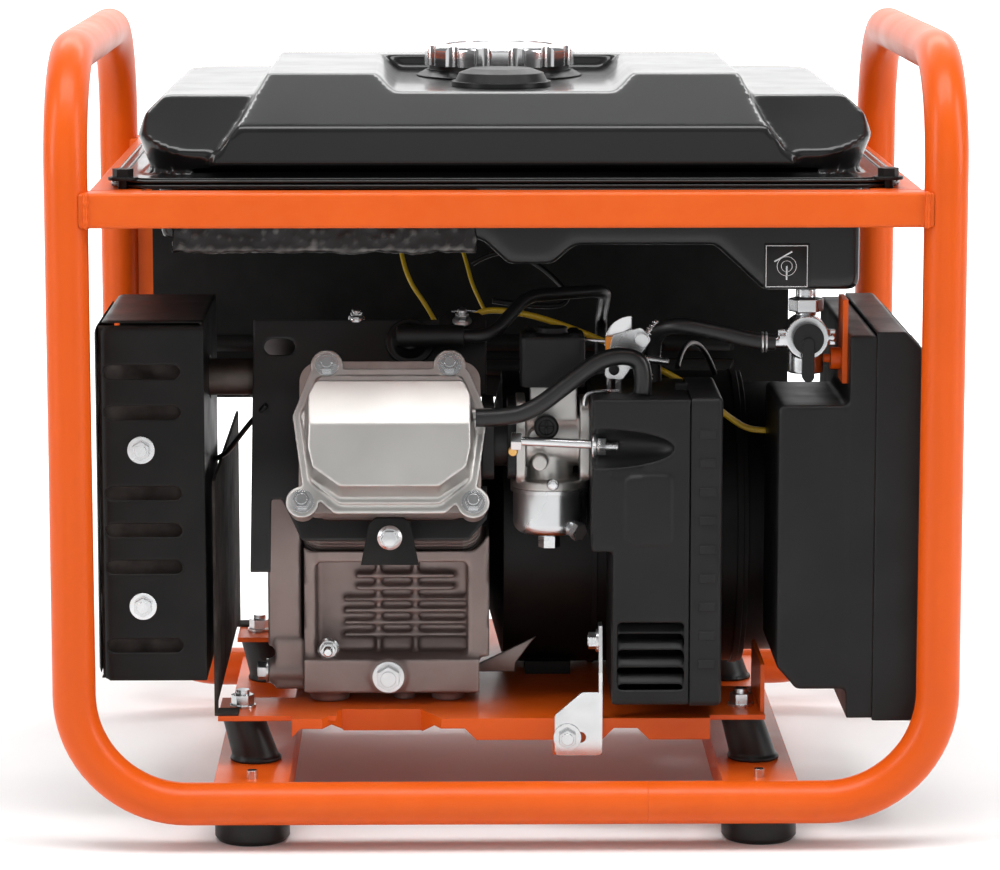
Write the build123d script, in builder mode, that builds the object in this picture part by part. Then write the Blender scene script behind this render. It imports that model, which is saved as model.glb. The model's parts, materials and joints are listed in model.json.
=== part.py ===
"""An open-frame portable generator, built as the separate pieces that it comes apart into.

The frame is one bent tube. The engine's crankshaft lies along X: exhaust and muffler at -X, flywheel
generator and recoil starter at +X, valve cover and carburettor towards -Y, control panel facing +X.
Z is up and z = 0 is the ground.
All sizes are millimetres.
"""

import os
from math import cos, pi, radians, sin

from build123d import *

# ---------------------------------------------------------------- driving dimensions
TUBE_R, TUBE_WALL, BEND_R = 12.5, 1.6, 65
HALF_W, HALF_D = 250, 188  # centre lines of the frame's uprights
Z_LOW, Z_TOP = 27.5, 459.5  # centre lines of the lowest and highest tube runs
SEAM_X = 82  # where the frame's two bent halves are butt welded
BAR, BAR_Z = 20, 374  # square cross bars that carry the tank
BAR_TOP = BAR_Z + BAR / 2

CHANNEL_X, CHANNEL_W, CHANNEL_LOW, CHANNEL_TOP = 149, 44, 15.5, 36
SHEET = 2.5  # pressed steel sheet
FOOT_Y, FOOT_R, FOOT_H = 161, 22, 14
MOUNT_Y, MOUNT_LEAN = 112, -7.5  # the rubber mounts sag towards the muffler
PLATE_LOW, PLATE_TOP = 65, 68

CRANK_Y, CRANK_Z = 20, 160
HEAD_TILT = 25  # the cylinder leans this far above the horizontal, towards -Y
HEAD_X, HEAD_REACH = -67.5, 180  # cylinder axis, and crank centre to valve cover face
BORE_R, STROKE = 34, 54
CASE_X = (-120, -15)
JOURNAL_R, RUNNING = 12.5, 0.08  # main journals and their running clearance
FAN_R, FAN_X = 91, (0, 146)
HEAD_CENTRE = (
    HEAD_X,
    CRANK_Y - HEAD_REACH * cos(radians(HEAD_TILT)),
    CRANK_Z + HEAD_REACH * sin(radians(HEAD_TILT)),
)
HEAD = Plane(
    origin=HEAD_CENTRE,
    x_dir=(1, 0, 0),
    z_dir=(0, -cos(radians(HEAD_TILT)), sin(radians(HEAD_TILT))),
)
CRANK = Plane(origin=(0, CRANK_Y, CRANK_Z), x_dir=(0, 1, 0), z_dir=(1, 0, 0))
FRONT = Plane(origin=(0, 0, 0), x_dir=(1, 0, 0), z_dir=(0, -1, 0))  # local x, y = X, Z
SIDE = Plane(origin=(0, 0, 0), x_dir=(0, 1, 0), z_dir=(1, 0, 0))  # local x, y = Y, Z

FLANGE_Z = 389  # top of the tank's rolled seam
SHOULDER_Z, CROWN_Z, WELL_Z = 434, 445.5, 436
CAP_Y, CAP_R, NECK_R = 20, 46.5, 27
GAUGE_Y = -74
CAP_X = -1.5

BREATHER = (HEAD_CENTRE[1] - 12, HEAD_CENTRE[2] + 15)  # Y, Z of the breather stub
COVER_RIDGE = 27
COVER_FOLD = 12  # the dome falls away from its ridge
COVER_BOLTS = ((-37, 43), (35, 43), (-51, -40), (48.5, -40.5))  # on the HEAD plane
GUARD_X, GUARD_Y, GUARD_Z = (-240, -176), (-140, -4), (90, 304)
GUARD_BOLTS = ((-213, 228), (-213, 135))  # X, Z on the guard's front
AIR_X, AIR_Y, AIR_Z, AIR_SEAM = (50, 126), (-165, -77), (80, 261), 107.5
PANEL_X, PANEL_Y, PANEL_Z, PANEL_SEAM = (199, 243.5), (-165, 24), (72, 298), 214.5
MUFFLER_IN = (-75, 262)  # Y, Z where the pipe enters the muffler
FILLER = (98, 118)  # Y, Z of the oil filler
GUARD_SLOTS = (111, 158, 180, 202, 250, 274)
ROPE, PULLEY_R = (72, 208), 48  # where the starter rope leaves its cover, and the pulley it winds on
PORT, EXHAUST = (-113, 231), (-91, 218)  # Y, Z of the intake and exhaust ports
BOWL_X, BOWL_TOP = 26.5, 202
OUTLETS = ((-100, 250), (-40, 250))  # Y, Z on the control panel
SWITCH, BREAKER = (-120, 180), (-40, 180)
CAP_LOW, TANK_DEEP = 443, 322
TANK_BOLTS = tuple((x, y, BAR_TOP) for x in (-219, 219) for y in (-168, 168))
VALVE_X, VALVE_Y, VALVE_Z = 176, -140, 294  # centre of the fuel valve's lever


# ---------------------------------------------------------------- helpers
def keep(builder, name):
    """Labels a finished piece and writes it under the same name."""
    builder.part.label = name
    export_step(builder.part, f"parts/{name}.step")


def block(x, y, z, mode=Mode.ADD):
    """A box from its lowest to its highest corner, each axis given as (low, high)."""
    with Locations(((x[0] + x[1]) / 2, (y[0] + y[1]) / 2, (z[0] + z[1]) / 2)):
        return Box(x[1] - x[0], y[1] - y[0], z[1] - z[0], mode=mode)


def disc(plane, radius, start, end, mode=Mode.ADD):
    """A cylinder on a plane's normal, from height start to height end."""
    with BuildSketch(plane.offset(start)) as outline:
        Circle(radius)
    extrude(outline.sketch, amount=end - start, mode=mode)


def ring(plane, outer, inner, start, end, mode=Mode.ADD):
    """A tube on a plane's normal."""
    with BuildSketch(plane.offset(start)) as outline:
        Circle(outer)
        Circle(inner, mode=Mode.SUBTRACT)
    extrude(outline.sketch, amount=end - start, mode=mode)


def cone(plane, start, start_radius, end, end_radius, mode=Mode.ADD):
    """A cone on a plane's normal."""
    with BuildSketch(plane.offset(start)) as low:
        Circle(start_radius)
    with BuildSketch(plane.offset(end)) as high:
        Circle(end_radius)
    loft([low.sketch.face(), high.sketch.face()], mode=mode)


def hexagon(plane, radius, start, end):
    """A hexagonal prism on a plane's normal."""
    with BuildSketch(plane.offset(start)) as outline:
        RegularPolygon(radius, 6)
    extrude(outline.sketch, amount=end - start)


def slab(plane, points, start, end, corner=0.0, mode=Mode.ADD):
    """A polygon on a plane, its corners rounded, from height start to height end."""
    with BuildSketch(plane.offset(start)) as outline:
        with BuildLine():
            Polyline(*points, close=True)
        make_face()
        if corner:
            fillet(outline.vertices(), corner)
    extrude(outline.sketch, amount=end - start, mode=mode)


def pad(plane, centre, size, corner, start, end, mode=Mode.ADD):
    """A rounded rectangle on a plane, from height start to height end."""
    with BuildSketch(plane.offset(start)) as outline:
        with Locations(centre):
            RectangleRounded(size[0], size[1], corner)
    extrude(outline.sketch, amount=end - start, mode=mode)


def at(x, y, z, direction):
    """A plane through a point, facing along a direction."""
    return Plane(origin=(x, y, z), z_dir=direction)


def spoke(degrees):
    """The plane across the crankshaft, turned about it."""
    turn = radians(degrees)
    return Plane(origin=CRANK.origin, x_dir=(0, cos(turn), sin(turn)), z_dir=(1, 0, 0))


def folded(height, degrees):
    """A plane parallel to the valve cover's face, leaned about its ridge."""
    centre = HEAD.from_local_coords((0, 0, height))
    lean = radians(HEAD_TILT + degrees)
    return Plane(origin=centre, x_dir=(1, 0, 0), z_dir=(0, -cos(lean), sin(lean)))


def hose(points, radii, outer, inner):
    """A tube swept along straight runs joined by tangent arcs."""
    start, towards = Vector(*points[0]), Vector(*points[1])
    with BuildLine() as path:
        FilletPolyline(*points, radius=radii)
    with BuildSketch(Plane(origin=start, z_dir=towards - start)) as section:
        Circle(outer)
        if inner:
            Circle(inner, mode=Mode.SUBTRACT)
    sweep(section.sketch, path=path.wires()[0])


def uprights(radius=TUBE_R):
    """Cuts the four frame uprights out of a part that is coped round them."""
    for x in (-HALF_W, HALF_W):
        for y in (-HALF_D, HALF_D):
            disc(at(x, y, 0, (0, 0, 1)), radius, Z_LOW, Z_TOP, mode=Mode.SUBTRACT)


# ---------------------------------------------------------------- frame and base
def frame_loop(side, name):
    """One bent half of the tubular frame: bottom run, upright, carrying hoop, upright, bottom run."""
    x = side * HALF_W
    corners = (
        (SEAM_X, -HALF_D, Z_LOW),
        (x, -HALF_D, Z_LOW),
        (x, -HALF_D, Z_TOP),
        (x, HALF_D, Z_TOP),
        (x, HALF_D, Z_LOW),
        (SEAM_X, HALF_D, Z_LOW),
    )
    with BuildPart() as loop:
        hose(corners, BEND_R, TUBE_R, TUBE_R - TUBE_WALL)
    keep(loop, name)


def crossbars():
    """The square bars that join the uprights and carry the tank, and the control box's short bracket."""
    with BuildPart() as bars:
        for y in (-HALF_D, HALF_D):
            with BuildSketch(SIDE.offset(-HALF_W)):
                with Locations((y, BAR_Z)):
                    RectangleRounded(BAR, BAR, 2)
                    RectangleRounded(BAR - 3, BAR - 3, 1, mode=Mode.SUBTRACT)
            extrude(amount=2 * HALF_W)
        block((-240, -222), (HALF_D - 4, HALF_D), (206, BAR_Z - 2))
        uprights()
        block((196, PANEL_X[0]), (-150, -122), (268, 317))
        disc(at(197, -136, 281, (-1, 0, 0)), 6.5, 0, 7)
        disc(at(191, -136, 281, (-1, 0, 0)), 2.5, 0, 5)
    keep(bars, "crossbars")


def tank_rails():
    """Steel angles between the cross bars, under the ends of the tank's flange."""
    inner, outer, reach = 208, 237, HALF_D - BAR / 2
    with BuildPart() as rails:
        for side in (-1, 1):
            span = sorted((side * inner, side * outer))
            leg = sorted((side * (outer - 3), side * outer))
            block(span, (-reach, reach), (BAR_TOP - 3, BAR_TOP))
            block(leg, (-reach, reach), (BAR_TOP - BAR, BAR_TOP - 3))
        with Locations(*[(sx * 219, sy * 168, BAR_TOP) for sx in (-1, 1) for sy in (-1, 1)]):
            Cylinder(3, 20, mode=Mode.SUBTRACT)
    keep(rails, "tank_rails")


def base_channels():
    """Two inverted channels across the bottom runs, holding the rubber feet and the engine's mounts."""
    web = CHANNEL_TOP - SHEET
    with BuildPart() as channels:
        for x in (-CHANNEL_X, CHANNEL_X):
            half = CHANNEL_W / 2
            block((x - half, x + half), (-186, 186), (CHANNEL_LOW, CHANNEL_TOP))
            block(
                (x - half + SHEET, x + half - SHEET), (-186, 186), (CHANNEL_LOW, web), mode=Mode.SUBTRACT
            )
            with Locations(*[(x, y, web) for y in (-FOOT_Y, FOOT_Y)]):
                Cylinder(3, 12, mode=Mode.SUBTRACT)
            with Locations(*[(x, y, web) for y in (-MOUNT_Y, MOUNT_Y)]):
                Cylinder(4, 12, mode=Mode.SUBTRACT)
        for y in (-HALF_D, HALF_D):
            disc(at(-HALF_W, y, Z_LOW, (1, 0, 0)), TUBE_R, 0, 2 * HALF_W, mode=Mode.SUBTRACT)
    keep(channels, "base_channels")


def rubber_feet():
    """Four moulded feet, each with a spigot up inside its channel."""
    with BuildPart() as feet:
        for x in (-CHANNEL_X, CHANNEL_X):
            for y in (-FOOT_Y, FOOT_Y):
                ground = at(x, y, 0, (0, 0, 1))
                cone(ground, 0, FOOT_R - 2, 2.5, FOOT_R)
                disc(ground, FOOT_R, 2.5, FOOT_H)
                disc(ground, 14, FOOT_H, CHANNEL_TOP - SHEET)
                disc(ground, 3, FOOT_H, CHANNEL_TOP - SHEET, mode=Mode.SUBTRACT)
    keep(feet, "rubber_feet")


def engine_isolators():
    """Four rubber engine mounts, settled to one side under the engine's weight."""
    top = PLATE_LOW
    with BuildPart() as isolators:
        for x in (-CHANNEL_X, CHANNEL_X):
            for y in (-MOUNT_Y, MOUNT_Y):
                base = at(x, y, CHANNEL_TOP, (0, 0, 1))
                disc(base, 15.5, 0, 2.2)
                with BuildSketch(at(x, y, CHANNEL_TOP + 2.2, (0, 0, 1))) as low:
                    Circle(14)
                with BuildSketch(at(x + MOUNT_LEAN, y, CHANNEL_TOP + 27, (0, 0, 1))) as high:
                    Circle(12.6)
                loft([low.sketch.face(), high.sketch.face()])
                disc(at(x + MOUNT_LEAN, y, 0, (0, 0, 1)), 13.2, CHANNEL_TOP + 27, top)
    keep(isolators, "engine_isolators")


def mount_studs():
    """Studs and flange nuts of the engine mounts, and the studs that hold the feet."""
    with BuildPart() as studs:
        for x in (-CHANNEL_X, CHANNEL_X):
            for y in (-MOUNT_Y, MOUNT_Y):
                top = at(x + MOUNT_LEAN, y, PLATE_TOP, (0, 0, 1))
                disc(top, 7.8, 0, 1.6)
                hexagon(top, 6.9, 1.6, 7.6)
                disc(top, 4, PLATE_LOW - PLATE_TOP, 10.5)
            for y in (-FOOT_Y, FOOT_Y):
                disc(at(x, y, 0, (0, 0, 1)), 3, FOOT_H, CHANNEL_TOP + 5)
    keep(studs, "mount_studs")


def base_plate_outline(inset=0.0):
    """The engine plate's plan, with the notch that clears the oil drain."""
    left, right, front, back = -126 + inset, 121 - inset, -146 + inset, 146 - inset
    notch = -120 + inset
    return (
        (left, front), (-108, front), (-97, notch), (-50, notch), (-38, front), (right, front),
        (right, back), (left, back),
    )  # fmt: skip


def engine_base_plate():
    """The pressed plate under the engine, with turned-down edges and four ears on the rubber mounts."""
    flange_low = 55
    level = Plane.XY
    with BuildPart() as plate:
        slab(level, base_plate_outline(), flange_low, PLATE_TOP)
        slab(level, base_plate_outline(3), flange_low, PLATE_LOW, mode=Mode.SUBTRACT)
        for x in ((-170, -100), (95, 154)):
            for y in ((-138, -88), (88, 138)):
                block(x, y, (PLATE_LOW, PLATE_TOP))
        block((-127, -123), (-138, -88), (flange_low, PLATE_LOW), mode=Mode.SUBTRACT)
        block((28, 57), (-146, -143), (46, PLATE_LOW))
        block((151.5, 154), (-132, -60), (PLATE_TOP, 97))
        block((120, 154), (-88, -60), (PLATE_LOW, PLATE_TOP))
        for x, half in ((-112, 9), (-33, 9), (71, 7)):
            slab(
                FRONT.offset(100),
                (
                    (x - half - 8, flange_low - 1),
                    (x - half, 62),
                    (x + half, 62),
                    (x + half + 8, flange_low - 1),
                ),
                0, 60, mode=Mode.SUBTRACT,
            )  # fmt: skip
        corners = [(x, y) for x in (-CHANNEL_X, CHANNEL_X) for y in (-MOUNT_Y, MOUNT_Y)]
        with Locations(*[(x + MOUNT_LEAN, y, PLATE_TOP) for x, y in corners]):
            Cylinder(4, 20, mode=Mode.SUBTRACT)
    keep(plate, "engine_base_plate")


def intake_bracket():
    """The zinc strap that stays the intake from the base plate, with a slotted foot."""
    x, front = (55, 57.2), -148.2
    with BuildPart() as bracket:
        slab(
            SIDE.offset(x[0]),
            (
                (front, 47), (front, 96), (-143.5, 123), (-131, 123),
                (-131, 112), (-139, 90), (-146, 72), (-146, 47),
            ),
            0, x[1] - x[0],
        )  # fmt: skip
        slab(
            FRONT.offset(-front - 2.2),
            ((29, 46), (57.2, 46), (57.2, 84), (45, 84), (29, 70)),
            0, 2.2, corner=3,
        )  # fmt: skip
        with BuildSketch(FRONT.offset(140)):
            with Locations((39, 57)):
                SlotOverall(17, 6.4)
        extrude(amount=20, mode=Mode.SUBTRACT)
    keep(bracket, "intake_bracket")


def rear_baffle():
    """The black sheet behind the engine, hung from the rear cross bar, with two rows of vents."""
    with BuildPart() as baffle:
        block((-226, 190), (150.5, 152), (216, 372))
        block((-226, 190), (150.5, HALF_D - BAR / 2), (370.5, 372))
        for z in (236, 252):
            for x in range(-190, 170, 60):
                pad(FRONT.offset(-160), (x + 20, z), (42, 7), 3.4, 0, 20, mode=Mode.SUBTRACT)
    keep(baffle, "rear_baffle")


# ---------------------------------------------------------------- engine
def crankcase():
    """The cast crankcase, hollow for the crank, with its ribbed front, sump rail and four feet."""
    low, rail = 74, 95
    centre = (CASE_X[0] + CASE_X[1]) / 2
    length = CASE_X[1] - CASE_X[0]
    with BuildPart() as case:
        disc(CRANK, 80, CASE_X[0], CASE_X[1])
        block(CASE_X, (-105, 108), (low, rail))
        block(CASE_X, (-78, 98), (rail, CRANK_Z))
        for x in ((CASE_X[0], CASE_X[0] + 7), (CASE_X[1] - 7, CASE_X[1] + 6)):
            slab(SIDE.offset(x[0]), ((-100, rail), (-96, 168), (-60, 168), (-60, rail)), 0, x[1] - x[0])
        block((CASE_X[0] + 7, CASE_X[1] - 7), (-96, -70), (152, 168))
        for row in range(6):
            width = 74 if row < 4 else 60
            with BuildSketch(FRONT.offset(76)):
                with Locations((centre + 8, 106 + 7.2 * row)):
                    SlotOverall(width, 2.6)
            extrude(amount=8)
        for x in (centre - 8, centre + 14):
            block((x - 1.5, x + 1.5), (-83, -76), (97, 150))
        with Locations((HEAD_X - 2, -104, 85)):
            Cylinder(11, 6, rotation=(90, 0, 0))
        for x, radius in ((-105, 12), (-60, 6.5), (-34, 10)):
            for y in (-90, 90):
                disc(at(x, y, 0, (0, 0, 1)), radius, PLATE_TOP, low)
        with BuildSketch(HEAD.offset(-125)):
            RectangleRounded(length, 96, 8)
        extrude(amount=21)
        pad(HEAD, (0, 0), (114, 99), 12, -104, 0, mode=Mode.SUBTRACT)
        disc(CRANK, 66, CASE_X[0] - 1, CASE_X[1] - 11, mode=Mode.SUBTRACT)
        disc(CRANK, JOURNAL_R + RUNNING, CASE_X[1] - 20, CASE_X[1] + 1, mode=Mode.SUBTRACT)
        disc(HEAD, BORE_R + 4, -150, -103, mode=Mode.SUBTRACT)
        disc(at(-60, *FILLER, (0, 0.8, 0.6)), 11, -14, 10)
        disc(at(-60, *FILLER, (0, 0.8, 0.6)), 7, -30, 11, mode=Mode.SUBTRACT)
        disc(at(HEAD_X - 2, -108, 85, (0, -1, 0)), 5, -20, 2, mode=Mode.SUBTRACT)
    keep(case, "crankcase")


def crankcase_cover():
    """The cast side cover at the muffler end, carrying the crank's outer bearing."""
    x = (CASE_X[0] - 24, CASE_X[0])
    with BuildPart() as cover:
        disc(CRANK, 76, x[0] + 6, x[1])
        disc(CRANK, 40, x[0], x[0] + 6)
        block((x[0] + 6, x[1]), (-92, 98), (74, 104))
        block((x[0] + 2, x[1] - 2), (-90, 60), (100, 198))
        for y, z in ((-85, 84), (90, 84), (-60, 150), (95, 150), (20, 232)):
            disc(at(x[0] + 2, y, z, (1, 0, 0)), 8, 0, x[1] - x[0] - 2)
        disc(CRANK, 60, x[0] + 12, x[1] + 1, mode=Mode.SUBTRACT)
        disc(CRANK, JOURNAL_R + RUNNING, x[0] + 4, x[0] + 14, mode=Mode.SUBTRACT)
    keep(cover, "crankcase_cover")


def cylinder_head():
    """The finned cylinder and head in one casting, leaning forward over the crankcase."""
    with BuildPart() as head:
        with BuildSketch(HEAD.offset(-104)):
            RectangleRounded(92, 84, 10)
        extrude(amount=100)
        for level in range(7):
            with BuildSketch(HEAD.offset(-100 + 8 * level)):
                RectangleRounded(108, 94, 12)
            extrude(amount=3)
        with BuildSketch(HEAD.offset(-12)):
            RectangleRounded(106, 92, 12)
        extrude(amount=12)
        with BuildSketch(HEAD.offset(-12)):
            with Locations(*COVER_BOLTS):
                Circle(8)
        extrude(amount=12)
        with BuildSketch(HEAD):
            with Locations(*COVER_BOLTS):
                Circle(3.05)
        extrude(amount=-11, mode=Mode.SUBTRACT)
        disc(at(-122, *EXHAUST, (1, 0, 0)), 17, 0, 8.5, mode=Mode.SUBTRACT)
        disc(HEAD, BORE_R, -110, -50, mode=Mode.SUBTRACT)
        with BuildSketch(HEAD.offset(-30)):
            RectangleRounded(78, 64, 10)
        extrude(amount=31, mode=Mode.SUBTRACT)
    keep(head, "cylinder_head")


def valve_cover():
    """The bright pressed valve cover: flange with an ear at each bolt, rolled bead and a folded dome."""
    flange = ((-46, 41), (46, 41), (57, 12), (51, -30), (32, -47), (-32, -47), (-51, -30), (-57, 12))
    bead = ((-42, 36), (42, 36), (52, 12), (46.5, -28), (29, -42), (-29, -42), (-46.5, -28), (-52, 12))
    dome = ((-44, 30), (44, 30), (49, 20), (49, -14), (46, -26))
    dome += ((29, -38), (-29, -38), (-46, -26), (-49, -14))
    dome += ((-49, 20),)
    with BuildPart() as cover:
        slab(HEAD, flange, 0, 3, corner=4)
        with BuildSketch(HEAD):
            with Locations(*COVER_BOLTS):
                Circle(9.5)
        extrude(amount=3)
        slab(HEAD, bead, 3, 5.5, corner=6)
        with BuildSketch(HEAD.offset(5.5)) as base:
            with BuildLine():
                Polyline(*reversed(dome), close=True)
            make_face()
            fillet(base.vertices(), 4)
        extrude(amount=30, taper=6)
        for lean in (COVER_FOLD, -COVER_FOLD / 2):
            pad(folded(COVER_RIDGE, lean), (0, 0), (300, 300), 1, 0, 60, mode=Mode.SUBTRACT)
        pad(HEAD, (0, 0), (84, 62), 12, -0.1, 12, mode=Mode.SUBTRACT)
        disc(at(-24, *BREATHER, (1, 0, 0)), 3.6, 0, 16)
        with BuildSketch(HEAD):
            with Locations(*COVER_BOLTS):
                Circle(3)
        extrude(amount=4, mode=Mode.SUBTRACT)
    keep(cover, "valve_cover")


def bolt_list():
    """Every hex flange bolt on the engine and the guard: plane, hexagon, flange, head, shank, length."""
    bolts = [
        (Plane(HEAD.from_local_coords((x, y, 3)), x_dir=(1, 0, 0), z_dir=HEAD.z_dir), 5.2, 7, 5, 3, 12)
        for x, y in COVER_BOLTS
    ]
    bolts += [(at(x, GUARD_Y[0], z, (0, -1, 0)), 5.6, 8, 4.5, 3, 14) for x, z in GUARD_BOLTS]
    bolts += [(at(CASE_X[0] - 22, y, z, (-1, 0, 0)), 5.6, 7.4, 5, 3, 0) for y, z in ((-85, 84), (90, 84))]
    bolts += [(at(HEAD_X - 2, -108, 85, (0, -1, 0)), 7.4, 9.5, 6, 5, 12)]
    bolts += [(at(36.5, -148.2, 57, (0, -1, 0)), 5.6, 8.2, 4.5, 3, 2)]
    bolts += [(at(55, -137, 113, (-1, 0, 0)), 5.2, 6.8, 4.5, 3, 0)]
    return bolts


def flange_bolts():
    """The hex flange bolts, each a separate solid."""
    with BuildPart() as bolts:
        for plane, hexa, flange, head, shank, length in bolt_list():
            disc(plane, flange, 0, 1.4)
            hexagon(plane, hexa, 1.4, 1.4 + head)
            disc(plane, hexa * 0.62, 1.4 + head, 1.9 + head)
            if length > 0:
                disc(plane, shank, -length, 0)
    keep(bolts, "flange_bolts")


def head_shroud():
    """The black pressed shroud round the head: a front plate and the wall above it."""
    front, plate = -30, ((-82, 81), (57, 81), (57, -42), (46, -55), (-52, -55), (-64, -30), (-70, -30))
    plate += ((-70, -74), (-82, -74))
    with BuildPart() as shroud:
        slab(HEAD, plate, front, front + 2)
        slab(HEAD, ((-82, 79), (57, 79), (57, 81), (-82, 81)), front - 72, front)
        pad(HEAD, (0, 0), (93, 85), 10.5, front - 1, front + 3, mode=Mode.SUBTRACT)
        pad(HEAD, (54, 6), (46, 56), 4, front - 1, front + 3, mode=Mode.SUBTRACT)
        pad(HEAD, (-66, 64), (18, 10), 4.9, front - 1, front + 3, mode=Mode.SUBTRACT)
    keep(shroud, "head_shroud")


def spark_plug_boot():
    """The rubber spark plug boot with its elbow."""
    base = Plane(HEAD.from_local_coords((11.5, 66, -28)), x_dir=(1, 0, 0), z_dir=HEAD.z_dir)
    with BuildPart() as boot:
        disc(base, 14.5, 0, 4)
        cone(base, 4, 11, 9, 8)
        disc(base, 8, 9, 14)
        centre = base.offset(14).origin
        disc(at(centre.X - 8, centre.Y, centre.Z, (1, 0, 0)), 6.5, 0, 40)
    keep(boot, "spark_plug_boot")


def ignition_lead():
    """The high-tension lead from the plug boot over to the fan housing."""
    start = HEAD.from_local_coords((11.5, 66, -14))
    points = (
        (start.X + 32, start.Y, start.Z), (-8, start.Y, start.Z), (14, -80, 311), (62, -50, 311),
        (62, CRANK_Y, 285), (62, CRANK_Y, CRANK_Z + FAN_R),
    )  # fmt: skip
    with BuildPart() as lead:
        hose(points, (18, 25, 25, 14), 3.9, 0)
    keep(lead, "ignition_lead")


def crankshaft():
    """The crankshaft with its two counterweighted webs and crank pin, its axis along X."""
    pin = CRANK.shift_origin(CRANK.from_local_coords(
        (-STROKE / 2 * cos(radians(HEAD_TILT)), STROKE / 2 * sin(radians(HEAD_TILT)), 0)
    ))  # fmt: skip
    with BuildPart() as shaft:
        disc(CRANK, JOURNAL_R, -137, -76)
        disc(CRANK, JOURNAL_R, -59, 141)
        for x in (-88, -59):
            disc(CRANK, 46, x, x + 12)
        disc(pin, 15, -76, -59)
    keep(shaft, "crankshaft")


def piston():
    """The piston, at the top of its stroke, with its ring grooves and hollow skirt."""
    with BuildPart() as slug:
        disc(HEAD, BORE_R, -96, -52)
        for level in (-58, -63, -68):
            ring(HEAD, BORE_R + 1, BORE_R - 2.5, level, level + 1.6, mode=Mode.SUBTRACT)
        disc(HEAD, BORE_R - 5, -97, -70, mode=Mode.SUBTRACT)
    keep(slug, "piston")


def fan_housing():
    """The round housing of the flywheel generator, its mouth towards the recoil starter."""
    with BuildPart() as housing:
        ring(CRANK, FAN_R, FAN_R - 3, FAN_X[0], FAN_X[1])
        ring(CRANK, FAN_R, 20, FAN_X[0], FAN_X[0] + 3)
        cone(CRANK, -8, 58, 0, FAN_R - 4)
        disc(CRANK, 46, CASE_X[1], -8)
        disc(CRANK, 20, CASE_X[1] - 1, FAN_X[0] + 4, mode=Mode.SUBTRACT)
        ring(CRANK, FAN_R + 1, FAN_R - 1, 54, 57)
        ring(CRANK, FAN_R + 1, FAN_R - 1, FAN_X[1] - 4, FAN_X[1])
        for x in (14, 104):
            block((x, x + 28), (CRANK_Y - 44, CRANK_Y + 44), (PLATE_TOP, PLATE_TOP + 8))
        disc(CRANK, FAN_R - 3, FAN_X[0] + 3, FAN_X[1], mode=Mode.SUBTRACT)
    keep(housing, "fan_housing")


def flywheel_rotor():
    """The magnet rotor with its fan blades, keyed to the crankshaft."""
    with BuildPart() as rotor:
        ring(CRANK, 79, 67, 50, 110)
        ring(CRANK, 79, JOURNAL_R, 110, 116)
        ring(CRANK, 26, JOURNAL_R, 116, 138)
        for turn in range(16):
            angle = 2 * pi * turn / 16
            root, tip = 27, 83
            lean = angle + 0.35
            slab(
                CRANK,
                (
                    (root * cos(angle - 0.05), root * sin(angle - 0.05)),
                    (tip * cos(lean - 0.02), tip * sin(lean - 0.02)),
                    (tip * cos(lean + 0.02), tip * sin(lean + 0.02)),
                    (root * cos(angle + 0.05), root * sin(angle + 0.05)),
                ),
                116, 136,
            )  # fmt: skip
        ring(CRANK, 27.5, JOURNAL_R, 116, 138)
    keep(rotor, "flywheel_rotor")


def stator():
    """The wound stator on its sleeve, inside the magnet rotor."""
    with BuildPart() as coils:
        ring(CRANK, 32, 22, FAN_X[0] + 3, 58)
        ring(CRANK, 40, 22, 56, 100)
        for turn in range(18):
            slab(spoke(20 * turn), ((38, -3.2), (58, -3.2), (58, 3.2), (38, 3.2)), 60, 96)
            slab(spoke(20 * turn), ((57, -8.5), (62.5, -8.5), (62.5, 8.5), (57, 8.5)), 62, 94)
    keep(coils, "stator")


def recoil_housing():
    """The pressed recoil starter cover with its air slots, axle boss and rope guide."""
    x = FAN_X[1]
    with BuildPart() as cover:
        disc(CRANK, FAN_R, x, x + 3)
        disc(CRANK, 84, x + 3, x + 28)
        cone(CRANK, x + 28, 84, x + 44, 62)
        disc(CRANK, 81.5, x - 1, x + 27, mode=Mode.SUBTRACT)
        cone(CRANK, x + 27, 81.5, x + 41.5, 60, mode=Mode.SUBTRACT)
        for turn in range(20):
            if turn not in (2, 3):
                pad(spoke(18 * turn), (42, 0), (26, 5), 2.4, x + 40, x + 46, mode=Mode.SUBTRACT)
        disc(CRANK, 8, x + 8, x + 42)
        guide = at(0, *ROPE, (1, 0, 0))
        disc(guide, 10, x + 34, x + 46)
        disc(guide, 3, x + 30, x + 50, mode=Mode.SUBTRACT)
    keep(cover, "recoil_housing")


def recoil_pulley():
    """The rope pulley of the recoil starter, on the cover's axle."""
    x = FAN_X[1]
    with BuildPart() as pulley:
        ring(CRANK, PULLEY_R, 8 + RUNNING, x + 12, x + 30)
        ring(CRANK, PULLEY_R + 1, PULLEY_R - 8, x + 16, x + 26, mode=Mode.SUBTRACT)
        for turn in range(3):
            with BuildSketch(spoke(120 * turn).offset(x + 11)):
                with Locations((24, 0)):
                    Circle(7)
            extrude(amount=20, mode=Mode.SUBTRACT)
    keep(pulley, "recoil_pulley")


def recoil_handle():
    """The starter's T-shaped pull handle with the end of its rope."""
    x = FAN_X[1] + 46
    y, z = ROPE
    with BuildPart() as handle:
        disc(at(x, y, z, (1, 0, 0)), 6, 0.2, 12)
        disc(at(x, y, z, (1, 0, 0)), 2.4, -14, 3)
        with BuildSketch(at(x + 13, y - 32, z, (0, 1, 0))):
            Ellipse(8, 7)
        extrude(amount=64)
        fillet(handle.faces().filter_by(Axis.Y).edges(), 3)
    keep(handle, "recoil_handle")


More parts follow.
